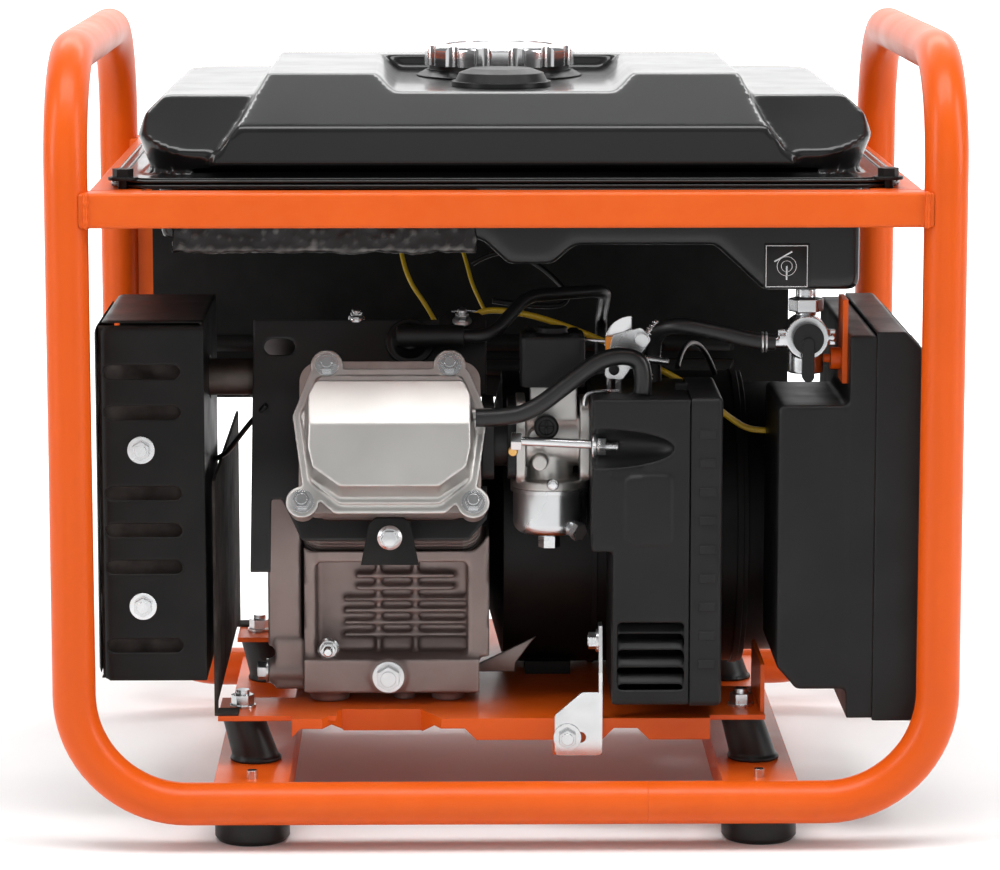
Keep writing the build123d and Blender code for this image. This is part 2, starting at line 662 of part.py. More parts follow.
def intake_manifold():
    """The heat insulating spacer between the head's port and the carburettor."""
    y, z = PORT
    with BuildPart() as manifold:
        pad(at(-13.5, y, z, (1, 0, 0)), (0, 0), (46, 44), 8, 0, 7)
        disc(at(-6.5, y, z, (1, 0, 0)), 17, 0, 8)
        pad(at(1.5, y, z, (1, 0, 0)), (0, 0), (46, 38), 8, 0, 5)
        disc(at(-14, y, z, (1, 0, 0)), 11, -1, 30, mode=Mode.SUBTRACT)
    keep(manifold, "intake_manifold")


def carburettor_body():
    """The cast carburettor: bore along X, flanges at both ends, bowl seat below and motor seat above."""
    y, z = PORT
    bore = at(0, y, z, (1, 0, 0))
    with BuildPart() as body:
        pad(bore, (0, 0), (50, 38), 8, 6.5, 12)
        disc(bore, 17, 12, 44)
        pad(bore, (0, 0), (48, 38), 8, 44, AIR_X[0])
        disc(at(BOWL_X, y, 0, (0, 0, 1)), 23, BOWL_TOP, BOWL_TOP + 5)
        disc(at(BOWL_X, y, 0, (0, 0, 1)), 14, BOWL_TOP + 5, z)
        block((15, 42.5), (y - 12, y + 12), (z + 7, z + 32))
        disc(at(19.2, y, z + 3, (0, -1, 0)), 5.7, 0, 26)
        disc(at(20.4, y, z - 12, (0, -1, 0)), 4.6, 0, 23)
        disc(at(32, y, z - 5, (0, 1, 0)), 3.6, 0, 30)
        disc(bore, 11, 0, 60, mode=Mode.SUBTRACT)
    keep(body, "carburettor_body")


def float_bowl():
    """The carburettor's pressed float bowl with its drain bolt."""
    y = PORT[0]
    base = at(BOWL_X, y, 0, (0, 0, 1))
    with BuildPart() as bowl:
        disc(base, 21.5, BOWL_TOP - 28, BOWL_TOP)
        fillet(bowl.edges().sort_by(Axis.Z)[0], 7)
        disc(base, 23, BOWL_TOP - 2.5, BOWL_TOP)
        disc(base, 19.5, BOWL_TOP - 24, BOWL_TOP + 1, mode=Mode.SUBTRACT)
        disc(base, 7, BOWL_TOP - 30, BOWL_TOP - 28)
        hexagon(base, 6.5, BOWL_TOP - 37, BOWL_TOP - 30)
        drain = at(BOWL_X + 11, y - 12, BOWL_TOP - 22, (0.6, -0.75, -0.28))
        disc(drain, 5, -2, 7)
        hexagon(drain, 5.6, 7, 11)
    keep(bowl, "float_bowl")


def throttle_motor():
    """The stepper motor housing that works the throttle, with the arm that carries the choke lever."""
    y, z = PORT
    with BuildPart() as motor:
        block((9, 47), (y - 18, y + 18), (z + 32, z + 62))
        fillet(motor.edges().filter_by(Axis.Z), 4)
        fillet(motor.faces().sort_by(Axis.Z)[-1].edges(), 2)
        for x in (15, 41):
            for side in (-13, 13):
                disc(at(x, y + side, z + 62, (0, 0, 1)), 3, -1, 1.6)
        disc(at(28, y, z + 62, (0, 0, 1)), 9, -1, 4)
        block((46, 68), (y - 10, y - 4), (z + 38, z + 46))
        disc(at(64, y - 10, z + 42, (0, -1, 0)), 3, -1, 7)
    keep(motor, "throttle_motor")


def choke_lever():
    """The choke's quadrant lever."""
    y, z = PORT
    front = FRONT.offset(-y + 11)
    with BuildPart() as lever:
        slab(front, ((58, z + 37), (69, z + 36), (86, z + 60), (80, z + 67), (63, z + 62)), 0, 2.4, corner=3)
        disc(at(80, y - 11, z + 60, (0, -1, 0)), 4, 0, 9)
        disc(at(64, y - 11, z + 42, (0, -1, 0)), 3 + RUNNING, -1, 4, mode=Mode.SUBTRACT)
    keep(lever, "choke_lever")


def air_cleaner_case():
    """The air cleaner's moulded case, open towards +X, with intake louvres low on its front."""
    x, y, z = (AIR_X[0], AIR_SEAM), AIR_Y, AIR_Z
    outline = ((x[0], z[1]), (x[1], z[1]), (x[1], z[0]), (x[0] + 12, z[0]), (x[0] + 12, 171), (x[0], 171))
    inner = ((x[0] + 3, z[1] - 3), (x[1] + 1, z[1] - 3), (x[1] + 1, z[0] + 3), (x[0] + 15, z[0] + 3))
    inner += ((x[0] + 15, 174), (x[0] + 3, 174))
    with BuildPart() as case:
        slab(FRONT, outline, -y[1], -y[0])
        fillet(case.faces().sort_by(Axis.Y)[0].edges(), 2)
        slab(FRONT, inner, -y[1] + 3, -y[0] - 3, mode=Mode.SUBTRACT)
        pad(FRONT, (84.5, 109), (39, 40), 2, -y[0] - 10, -y[0] + 1, mode=Mode.SUBTRACT)
        for level in range(4):
            slab(
                SIDE.offset(64),
                ((y[0] + 2, 92 + 10 * level), (y[0] + 4, 92 + 10 * level), (y[0] + 9, 98 + 10 * level),
                 (y[0] + 7, 98 + 10 * level)),
                0, 41,
            )  # fmt: skip
        pad(FRONT, (83, 196), (26, 40), 4, -y[0] - 1, -y[0] + 1.6)
        pad(FRONT, (70, 222), (20, 16), 3, -y[0] - 1.2, -y[0] + 1, mode=Mode.SUBTRACT)
        disc(at(0, *PORT, (1, 0, 0)), 11, x[0] - 1, x[0] + 5, mode=Mode.SUBTRACT)
        block((x[0] + 24, x[0] + 34), (-150, -140), (z[1] - 1, z[1] + 1.5))
        disc(at(x[0] + 29, -150, z[1], (0, 0, 1)), 3.6, -1, 9)
    keep(case, "air_cleaner_case")


def air_cleaner_cover():
    """The ribbed lid of the air cleaner."""
    x, y, z = (AIR_SEAM, AIR_X[1]), AIR_Y, AIR_Z
    with BuildPart() as lid:
        block(x, y, (z[0] - 1, z[1] + 1))
        fillet(lid.edges().filter_by(Axis.X), 4)
        fillet(lid.faces().sort_by(Axis.X)[-1].edges(), 3)
        block((x[0] - 1, x[1] - 3), (y[0] + 3, y[1] - 3), (z[0] + 2, z[1] - 2), mode=Mode.SUBTRACT)
        for level in range(9):
            low = z[0] + 22 + 17 * level
            block((x[0] + 5, x[1] - 4), (y[0] - 1.2, y[0] + 1), (low, low + 5))
    keep(lid, "air_cleaner_cover")


def air_filter_element():
    """The foam air filter block."""
    with BuildPart() as foam:
        block((AIR_X[0] + 16, AIR_SEAM - 1), (AIR_Y[0] + 3, AIR_Y[1] - 3), (136, 206))
    keep(foam, "air_filter_element")


def breather_hose():
    """The crankcase breather hose from the valve cover over to the air cleaner."""
    y, z = BREATHER
    top = AIR_Z[1] + 24
    drop = AIR_X[0] + 29
    points = ((-18, y, z), (16, y + 1, z), (50, -150, top), (drop, -150, top), (drop, -150, AIR_Z[1] + 1.5))
    with BuildPart() as line:
        hose(points, (22, 16, 14), 5.8, 3.9)
    keep(line, "breather_hose")


def fuel_hose():
    """The fuel hose from the tank's valve, round behind the air cleaner, to the carburettor."""
    y, z = PORT
    back = -66
    points = (
        (VALVE_X - 19, VALVE_Y, VALVE_Z - 3), (118, VALVE_Y, VALVE_Z - 3),
        (88, back, 286), (88, back, z - 5),
        (32, back, z - 5), (32, y + 18, z - 5),
    )  # fmt: skip
    with BuildPart() as line:
        hose(points, (22, 16, 14, 13), 5, 3.8)
    keep(line, "fuel_hose")


def fuel_valve_body():
    """The fuel valve under the tank: inlet nut, round body, sediment bowl and hose tail."""
    up = at(VALVE_X, VALVE_Y + 9, 0, (0, 0, 1))
    front = at(VALVE_X, VALVE_Y, VALVE_Z, (0, -1, 0))
    with BuildPart() as valve:
        disc(front, 12.6, -18, 4)
        disc(up, 6, VALVE_Z + 5, TANK_DEEP)
        hexagon(up, 10.4, VALVE_Z + 14, VALVE_Z + 22)
        disc(up, 10.4, VALVE_Z - 22, VALVE_Z - 8.5)
        block((VALVE_X - 17, VALVE_X + 17), (VALVE_Y - 2.4, VALVE_Y + 1), (VALVE_Z - 4.6, VALVE_Z + 4.6))
        for x in (-14.6, 14.6):
            disc(at(VALVE_X + x, VALVE_Y - 2.4, VALVE_Z, (0, -1, 0)), 1.8, -1, 1.6)
        disc(at(VALVE_X, VALVE_Y, VALVE_Z - 3, (-1, 0, 0)), 3.6, 4, 26)
    keep(valve, "fuel_valve_body")


def fuel_valve_lever():
    """The fuel valve's lever, hanging down when the valve is on."""
    front = at(VALVE_X, VALVE_Y - 4.3, VALVE_Z, (0, -1, 0))
    with BuildPart() as lever:
        disc(front, 9, 0, 7)
        with BuildSketch(FRONT.offset(-VALVE_Y + 6.3)):
            with Locations((VALVE_X, VALVE_Z - 12)):
                RectangleRounded(7, 26, 3.4)
        extrude(amount=6)
    keep(lever, "fuel_valve_lever")


def tank_half_plan(half_x, half_y, z, corner=30):
    """A rounded rectangle at one level of the tank."""
    with BuildSketch(Plane.XY.offset(z)) as plan:
        RectangleRounded(2 * half_x, 2 * half_y, corner)
    return plan.sketch.face()


def tank_upper():
    """The tank's upper pressing: rolled flange, shouldered body, raised crown and the well for the cap."""
    with BuildPart() as shell:
        with BuildSketch(Plane.XY.offset(FLANGE_Z - SHEET)):
            RectangleRounded(456, 350, 26)
        extrude(amount=SHEET)
        loft([tank_half_plan(205, 152, FLANGE_Z), tank_half_plan(213, 160, 412)])
        loft([tank_half_plan(213, 160, 412), tank_half_plan(209, 156, 424)])
        loft([tank_half_plan(209, 156, 424), tank_half_plan(198, 146, SHOULDER_Z, 26)])
        slab(SIDE, ((-118, SHOULDER_Z), (-159, 402), (-300, 402), (-300, 500), (-118, 500)), -300, 300,
             mode=Mode.SUBTRACT)
    with BuildPart() as crown:
        outline = ((-139, CROWN_Z), (-153, 421), (-171, 396), (168, 396), (149, 421), (138, CROWN_Z))
        slab(FRONT, outline, -104, 161.5)
        slope = ((-102, CROWN_Z + 0.5), (-156.5, 418), (-161.5, 390), (-300, 390), (-300, 500), (-102, 500))
        slab(SIDE, slope, -300, 300, mode=Mode.SUBTRACT)
    with BuildPart() as upper:
        add(shell.part)
        add(crown.part)
        slab(
            FRONT,
            ((-64, WELL_Z), (64, WELL_Z), (76, CROWN_Z + 1), (-76, CROWN_Z + 1)),
            -CAP_Y - CAP_R - 6, 170, mode=Mode.SUBTRACT,
        )  # fmt: skip
        levels = ((FLANGE_Z - 3, 202.5, 149.5), (398, 206, 153), (398, 206, 118), (412, 210.5, 118))
        levels += ((412, 210.5, 118), (424, 206.5, 117), (424, 206.5, 117), (431.5, 198, 116))
        for low, high in zip(levels[::2], levels[1::2]):
            plans = [tank_half_plan(half_x, half_y, z, 28) for z, half_x, half_y in (low, high)]
            loft(plans, mode=Mode.SUBTRACT)
        slab(
            FRONT,
            ((-148.3, 425), (-138, 443), (-77, 443), (-67, WELL_Z - 2.5), (67, WELL_Z - 2.5), (77, 443),
             (136, 443), (145, 425)),
            -101, 98, mode=Mode.SUBTRACT,
        )  # fmt: skip
        neck = at(CAP_X, CAP_Y, 0, (0, 0, 1))
        disc(neck, NECK_R, WELL_Z - 4, CAP_LOW)
        disc(neck, NECK_R - 5, WELL_Z - 12, CAP_LOW + 1, mode=Mode.SUBTRACT)
        disc(at(CAP_X, GAUGE_Y, 0, (0, 0, 1)), 12, WELL_Z - 12, WELL_Z + 1, mode=Mode.SUBTRACT)
        with Locations(*TANK_BOLTS):
            Cylinder(3.2, 30, mode=Mode.SUBTRACT)
    keep(upper, "tank_upper")


def tank_lower():
    """The tank's lower pressing: shallow over the muffler side, deep over the generator side."""
    outer = ((-200, 384), (-200, 352), (-14, 352), (2, 337), (27, 337), (40, 348))
    outer += ((122, 348), (150, TANK_DEEP), (206, TANK_DEEP), (206, 384))
    inner = ((-198, 385), (-198, 354), (-13, 354), (3, 339), (26, 339), (39, 350))
    inner += ((123, 350), (151, TANK_DEEP + 2), (204, TANK_DEEP + 2), (204, 385))
    with BuildPart() as shell:
        slab(FRONT, outer, -148, 148)
        fillet(shell.edges().filter_by(Axis.Y).filter_by(lambda e: e.center().Z < 380), 7)
        fillet(shell.faces().sort_by(Axis.Y)[0].edges().filter_by(lambda e: e.center().Z < 383), 5)
        fillet(shell.faces().sort_by(Axis.Y)[-1].edges().filter_by(lambda e: e.center().Z < 383), 5)
    with BuildPart() as cavity:
        slab(FRONT, inner, -146, 146)
        fillet(cavity.edges().filter_by(Axis.Y).filter_by(lambda e: e.center().Z < 380), 6)
        fillet(cavity.faces().sort_by(Axis.Y)[0].edges().filter_by(lambda e: e.center().Z < 383), 4)
        fillet(cavity.faces().sort_by(Axis.Y)[-1].edges().filter_by(lambda e: e.center().Z < 383), 4)
    with BuildPart() as lower:
        with BuildSketch(Plane.XY.offset(BAR_TOP)):
            RectangleRounded(456, 350, 26)
        extrude(amount=SHEET)
        add(shell.part)
        add(cavity.part, mode=Mode.SUBTRACT)
        block((-196, 202), (-144, 144), (383, BAR_TOP + SHEET + 1), mode=Mode.SUBTRACT)
        with Locations(*TANK_BOLTS):
            Cylinder(3.2, 30, mode=Mode.SUBTRACT)
    keep(lower, "tank_lower")


def fuel_cap():
    """The bright fluted fuel cap with its plug down the filler neck."""
    neck = at(CAP_X, CAP_Y, 0, (0, 0, 1))
    flutes = 14
    with BuildPart() as cap:
        disc(neck, CAP_R, CAP_LOW, 455.5)
        fillet(cap.edges().sort_by(Axis.Z)[-1], 3.5)
        for turn in range(flutes):
            angle = 2 * pi * turn / flutes
            x, y = CAP_X + (CAP_R + 5.6) * cos(angle), CAP_Y + (CAP_R + 5.6) * sin(angle)
            disc(at(x, y, 0, (0, 0, 1)), 8, CAP_LOW - 1, 457, mode=Mode.SUBTRACT)
        disc(neck, 33, 454, 457, mode=Mode.SUBTRACT)
        disc(neck, 30, 453, 455)
        disc(neck, NECK_R - 6, WELL_Z, CAP_LOW)
    keep(cap, "fuel_cap")


def fuel_cap_gasket():
    """The black collar that seals the cap on the filler neck."""
    with BuildPart() as gasket:
        neck = at(CAP_X, CAP_Y, 0, (0, 0, 1))
        cone(neck, WELL_Z + 0.5, 51, CAP_LOW - 3, 45)
        disc(neck, 43, CAP_LOW - 3, CAP_LOW)
        disc(neck, NECK_R + 0.5, WELL_Z, CAP_LOW + 1, mode=Mode.SUBTRACT)
    keep(gasket, "fuel_cap_gasket")


def fuel_gauge():
    """The float gauge's round head, in front of the cap."""
    centre = at(CAP_X, GAUGE_Y, 0, (0, 0, 1))
    with BuildPart() as gauge:
        disc(centre, 29.5, WELL_Z, WELL_Z + 3)
        cone(centre, WELL_Z + 3, 27.5, WELL_Z + 8, 25)
        cone(centre, WELL_Z + 8, 25, WELL_Z + 10.5, 18)
        disc(centre, 11.7, WELL_Z - 10, WELL_Z)
    keep(gauge, "fuel_gauge")


def tank_bolts():
    """The four bolts and washers through the tank's flange."""
    with BuildPart() as bolts:
        for x, y, _ in TANK_BOLTS:
            top = at(x, y, FLANGE_Z, (0, 0, 1))
            disc(top, 8.5, 0, 1.6)
            hexagon(top, 6, 1.6, 6.5)
            disc(top, 3, -FLANGE_Z + 372, 0)
    keep(bolts, "tank_bolts")


def heat_barrier():
    """The quilted foil pad under the shallow part of the tank, above the muffler."""
    with BuildPart() as barrier:
        outline = ((-148, 352), (-148, 381), (-155, 381), (-155, 346), (-152, 343), (120, 343), (120, 352))
        slab(SIDE, outline, -194, -16)
    keep(barrier, "heat_barrier")


def muffler_guard():
    """The slotted sheet guard round the muffler, open below, with a hole for the exhaust pipe."""
    x, y, z = GUARD_X, GUARD_Y, GUARD_Z
    wall = 1.6
    with BuildPart() as guard:
        block(x, y, z)
        fillet(guard.faces().sort_by(Axis.X)[0].edges(), 8)
        fillet(guard.faces().sort_by(Axis.Z)[-1].edges().filter_by(Axis.X), 7)
        inside = (x[0] + wall, x[1] - wall), (y[0] + wall, y[1] - wall), (z[0] - 1, z[1] - wall)
        block(*inside, mode=Mode.SUBTRACT)
        disc(at(x[1] - 3, *MUFFLER_IN, (1, 0, 0)), 12, 0, 6, mode=Mode.SUBTRACT)
        for level in GUARD_SLOTS:
            for plane, centre, width in (
                (FRONT.offset(-y[0] - 5), ((x[0] + x[1]) / 2 - 4, level), 44),
                (FRONT.offset(-y[1] - 5), ((x[0] + x[1]) / 2 - 4, level), 44),
                (SIDE.offset(x[0] - 5), ((y[0] + y[1]) / 2, level), 104),
            ):
                pad(plane, centre, (width, 7.6), 3.7, 0, 10, mode=Mode.SUBTRACT)
        for bx, bz in GUARD_BOLTS:
            disc(at(bx, y[0], bz, (0, 1, 0)), 3.1, -1, 3, mode=Mode.SUBTRACT)
            disc(at(bx, y[0] + wall, bz, (0, 1, 0)), 7, 0, 15 - wall)
            disc(at(bx, y[0], bz, (0, 1, 0)), 3.1, 0, 15, mode=Mode.SUBTRACT)
    keep(guard, "muffler_guard")


def muffler_body():
    """The muffler's oval drum with its seamed ends."""
    near, far = GUARD_Y[0] + 15, GUARD_Y[1] - 16
    with BuildPart() as muffler:
        pad(FRONT, (-208, 196), (44, 170), 21, -far, -near)
        for y in (-far, -near - 4):
            pad(FRONT, (-208, 196), (47, 173), 22.5, y, y + 4)
        pad(FRONT, (-208, 196), (41, 167), 19.5, -far + 2, -near - 2, mode=Mode.SUBTRACT)
    keep(muffler, "muffler_body")


def exhaust_pipe():
    """The exhaust pipe from the head's port up to the muffler."""
    y, z = EXHAUST
    with BuildPart() as pipe:
        disc(at(-121, y, z, (1, 0, 0)), 16.5, 0, 7.5)
        hose(((-118, y, z), (-138, y, z), (-138, *MUFFLER_IN), (-186, *MUFFLER_IN)), (15, 15), 11, 0)
    keep(pipe, "exhaust_pipe")


def heat_shield():
    """The bright sheet between the engine and the muffler, on two feet."""
    with BuildPart() as shield:
        block((-172, -170.4), (-137, 137), (74, 209))
        for y in ((-137, -122), (122, 137)):
            block((-172, -158), y, (PLATE_TOP, PLATE_TOP + 1.6))
            block((-172, -170.4), y, (PLATE_TOP, 76))
    keep(shield, "heat_shield")


def wiring():
    """The main wire from the engine over to the control box."""
    with BuildPart() as wire:
        run = ((-20, -62, 289), (-20, -62, 300), (70, -52, 300), (135, -70, 228), (158, -70, 228))
        hose(run, (8, 40, 14), 2, 0)
    keep(wire, "wiring")


def panel_box_rear():
    """The control box's back: a narrow case stepping out to the full width at the seam."""
    x, y, z = PANEL_X, PANEL_Y, PANEL_Z
    wall = 2.5
    with BuildPart() as rear:
        outline = ((158, 103), (170, 89), (x[0] + 9, 89), (x[0] + 9, 257), (158, 257))
        slab(FRONT, outline, 64, -y[0] - 0.6, corner=3)
        block((x[0], PANEL_SEAM), y, z)
        slab(FRONT, ((161, 105), (171, 92), (x[0] + 1, 92), (x[0] + 1, 254), (161, 254)), 67, -y[0] - wall,
             mode=Mode.SUBTRACT)
        inside = (x[0] + wall, PANEL_SEAM + 1), (y[0] + wall, y[1] - wall), (z[0] + wall, z[1] - wall)
        block(*inside, mode=Mode.SUBTRACT)
    keep(rear, "panel_box_rear")


def panel_box_front():
    """The control box's front moulding, carrying the outlets, switch and breaker."""
    x, y, z = (PANEL_SEAM, PANEL_X[1]), PANEL_Y, (PANEL_Z[0] - 2, PANEL_Z[1] + 2)
    wall = 2.5
    with BuildPart() as front:
        block(x, y, z)
        chamfer(front.edges().filter_by(Axis.Y).sort_by(lambda e: e.center().X + e.center().Z)[-1], 12)
        chamfer(front.faces().sort_by(Axis.X)[-1].edges(), 3)
        inside = (x[0] - 1, x[1] - wall - 1), (y[0] + wall, y[1] - wall), (z[0] + wall, z[1] - wall)
        block(*inside, mode=Mode.SUBTRACT)
        for oy, oz in OUTLETS:
            disc(at(x[1], oy, oz, (1, 0, 0)), 18, -20, 5, mode=Mode.SUBTRACT)
        pad(SIDE.offset(x[1]), SWITCH, (30, 21), 1, -20, 5, mode=Mode.SUBTRACT)
        disc(at(x[1], *BREAKER, (1, 0, 0)), 6.1, -20, 5, mode=Mode.SUBTRACT)
    keep(front, "panel_box_front")


def outlets():
    """The two socket outlets in the control panel."""
    x = PANEL_X[1]
    with BuildPart() as sockets:
        for y, z in OUTLETS:
            disc(at(x, y, z, (1, 0, 0)), 17.9, -20, 0)
            ring(at(x, y, z, (1, 0, 0)), 23, 16.5, 0, 2)
            for side in (-6, 6):
                pad(SIDE.offset(x), (y + side, z + 2), (2, 7), 0.8, -12, 1, mode=Mode.SUBTRACT)
            disc(at(x, y, z - 8, (1, 0, 0)), 2.5, -12, 1, mode=Mode.SUBTRACT)
    keep(sockets, "outlets")


def outlet_cover(index, name):
    """A sprung flap over one outlet, hinged along its top edge."""
    x = PANEL_X[1] + 2
    y, z = OUTLETS[index]
    with BuildPart() as flap:
        pad(SIDE.offset(x), (y, z - 1), (48, 50), 9, 0.3, 6)
        fillet(flap.faces().sort_by(Axis.X)[-1].edges(), 2)
        disc(at(x + 3.6, y - 18, z + 27, (0, 1, 0)), 3, 0, 36)
        block((x + 1.2, x + 5.6), (y - 16, y + 16), (z + 20, z + 27))
        disc(at(x, y, z, (1, 0, 0)), 15, -1, 3, mode=Mode.SUBTRACT)
    keep(flap, name)


def engine_switch():
    """The engine's rocker switch."""
    x = PANEL_X[1]
    y, z = SWITCH
    with BuildPart() as rocker:
        slab(
            SIDE,
            ((y - 13.5, z - 9.5), (y + 13.5, z - 9.5), (y + 13.5, z + 9.5), (y - 13.5, z + 9.5)),
            x - 3, x + 1.5, corner=1,
        )  # fmt: skip
        disc(at(x - 3, y, z, (1, 0, 0)), 5, -8, 0)
        disc(at(x - 1.5, y - 14.2, z, (0, 1, 0)), 1.2, 0, 28.4)
    keep(rocker, "engine_switch")


def breaker_button():
    """The circuit breaker's push button."""
    with BuildPart() as button:
        disc(at(PANEL_X[1], *BREAKER, (1, 0, 0)), 5.8, -12, 5)
        fillet(button.edges().sort_by(Axis.X)[-1], 1)
    keep(button, "breaker_button")


def inverter_module():
    """The inverter's finned block inside the control box."""
    with BuildPart() as module:
        block((201.5, 208), (-150, 8), (80, 205))
        for row in range(13):
            block((208, 220), (-150, 8), (82 + 9.5 * row, 85 + 9.5 * row))
    keep(module, "inverter_module")


def oil_filler_cap():
    """The oil filler's screw cap at the back of the crankcase."""
    seat = at(-60, *FILLER, (0, 0.8, 0.6))
    with BuildPart() as cap:
        disc(seat, 12, 10, 16)
        disc(seat, 7 - RUNNING, -6, 10)
        pad(seat, (0, 0), (20, 5), 1, 16, 21)
    keep(cap, "oil_filler_cap")


# ---------------------------------------------------------------- build
os.makedirs("parts", exist_ok=True)
frame_loop(-1, "frame_loop_left")
frame_loop(1, "frame_loop_right")
crossbars()
tank_rails()
base_channels()
rubber_feet()
engine_isolators()
mount_studs()
engine_base_plate()
intake_bracket()
rear_baffle()
crankcase()
crankcase_cover()
cylinder_head()
head_shroud()
valve_cover()
flange_bolts()
spark_plug_boot()
ignition_lead()
crankshaft()
piston()
fan_housing()
flywheel_rotor()
stator()
recoil_housing()
recoil_pulley()
recoil_handle()
intake_manifold()
carburettor_body()
float_bowl()
throttle_motor()
choke_lever()
air_cleaner_case()
air_cleaner_cover()
air_filter_element()
breather_hose()
fuel_hose()
fuel_valve_body()
fuel_valve_lever()
tank_upper()
tank_lower()
fuel_cap()
fuel_cap_gasket()
fuel_gauge()
tank_bolts()
heat_barrier()
muffler_guard()
muffler_body()
exhaust_pipe()
heat_shield()
wiring()
panel_box_rear()
panel_box_front()
outlets()
outlet_cover(0, "outlet_cover_left")
outlet_cover(1, "outlet_cover_right")
engine_switch()
breaker_button()
inverter_module()
oil_filler_cap()
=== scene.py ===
"""An open-frame portable generator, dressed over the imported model."""

import json
import math
import random

import bmesh
import bpy
from mathutils import Matrix, Vector


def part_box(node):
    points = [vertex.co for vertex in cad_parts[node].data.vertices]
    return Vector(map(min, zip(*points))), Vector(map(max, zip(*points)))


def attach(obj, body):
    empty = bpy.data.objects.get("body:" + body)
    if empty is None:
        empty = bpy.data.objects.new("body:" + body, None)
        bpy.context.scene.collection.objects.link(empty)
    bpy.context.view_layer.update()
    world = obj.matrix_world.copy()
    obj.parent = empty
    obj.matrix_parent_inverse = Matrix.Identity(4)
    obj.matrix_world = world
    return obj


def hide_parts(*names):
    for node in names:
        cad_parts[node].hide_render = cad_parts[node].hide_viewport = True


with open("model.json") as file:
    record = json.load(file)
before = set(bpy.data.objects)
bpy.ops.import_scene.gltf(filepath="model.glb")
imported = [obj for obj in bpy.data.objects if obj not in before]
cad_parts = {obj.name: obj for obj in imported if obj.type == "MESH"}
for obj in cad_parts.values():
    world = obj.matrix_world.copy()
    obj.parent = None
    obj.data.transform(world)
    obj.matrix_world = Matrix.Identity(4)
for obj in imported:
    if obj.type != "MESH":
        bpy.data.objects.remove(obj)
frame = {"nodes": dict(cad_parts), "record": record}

random.seed(7)
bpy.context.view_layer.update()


# ---------------------------------------------------------------- materials
DUST = (0.42, 0.38, 0.33)
COAT_ROUGHNESS = 0.08
MOTTLE, SMEAR, DUSTING, WAVE, EDGE_BREAK = 14.0, 22.0, 35.0, 9.0, 60.0  # noise scales, per metre
WAVE_HEIGHT, WAVE_STRENGTH = 0.0006, 0.08


class Graph:
    """A small helper that builds one node material."""

    def __init__(self, name):
        self.mat = bpy.data.materials.new(name)
        self.mat.use_nodes = True
        self.nodes = self.mat.node_tree.nodes
        self.links = self.mat.node_tree.links
        self.shader = self.nodes["Principled BSDF"]
        self.coord = self.nodes.new("ShaderNodeTexCoord")

    def noise(self, scale, detail=4.0, rough=0.55, stretch=None, seed=0.0):
        mapping = self.nodes.new("ShaderNodeMapping")
        mapping.inputs["Location"].default_value = (seed, seed * 1.7, seed * 0.6)
        if stretch:
            mapping.inputs["Scale"].default_value = stretch
        self.links.new(self.coord.outputs["Object"], mapping.inputs["Vector"])
        node = self.nodes.new("ShaderNodeTexNoise")
        node.inputs["Scale"].default_value = scale
        node.inputs["Detail"].default_value = detail
        node.inputs["Roughness"].default_value = rough
        self.links.new(mapping.outputs["Vector"], node.inputs["Vector"])
        return node.outputs["Fac"]

    def spread(self, value, low, high, start=0.3, end=0.7):
        node = self.nodes.new("ShaderNodeMapRange")
        node.inputs["From Min"].default_value = start
        node.inputs["From Max"].default_value = end
        node.inputs["To Min"].default_value = low
        node.inputs["To Max"].default_value = high
        self.links.new(value, node.inputs["Value"])
        return node.outputs["Result"]

    def mix(self, factor, a, b):
        node = self.nodes.new("ShaderNodeMix")
        node.data_type = "RGBA"
        for socket, value in ((node.inputs["A"], a), (node.inputs["B"], b)):
            if isinstance(value, bpy.types.NodeSocket):
                self.links.new(value, socket)
            else:
                socket.default_value = (*value, 1.0)
        if isinstance(factor, bpy.types.NodeSocket):
            self.links.new(factor, node.inputs["Factor"])
        else:
            node.inputs["Factor"].default_value = factor
        return node.outputs["Result"]

    def times(self, a, b):
        node = self.nodes.new("ShaderNodeMath")
        node.operation = "MULTIPLY"
        for socket, value in zip(node.inputs, (a, b)):
            if isinstance(value, bpy.types.NodeSocket):
                self.links.new(value, socket)
            else:
                socket.default_value = value
        return node.outputs["Value"]

    def edges(self, amount, low=0.505, high=0.56):
        """Convex edges, from the mesh's pointiness, broken up by noise."""
        geometry = self.nodes.new("ShaderNodeNewGeometry")
        edge = self.spread(geometry.outputs["Pointiness"], 0.0, amount, low, high)
        return self.times(edge, self.spread(self.noise(EDGE_BREAK, 3.0), 0.2, 1.0))

    def bump(self, radius, *layers):
        """Eased edges, then stacked bumps, each (height socket, distance in metres, strength)."""
        eased = self.nodes.new("ShaderNodeBevel")
        eased.samples = 4
        eased.inputs["Radius"].default_value = radius
        last = eased.outputs["Normal"]
        for height, distance, strength in layers:
            node = self.nodes.new("ShaderNodeBump")
            node.inputs["Distance"].default_value = distance
            node.inputs["Strength"].default_value = strength
            self.links.new(height, node.inputs["Height"])
            self.links.new(last, node.inputs["Normal"])
            last = node.outputs["Normal"]
        self.links.new(last, self.shader.inputs["Normal"])


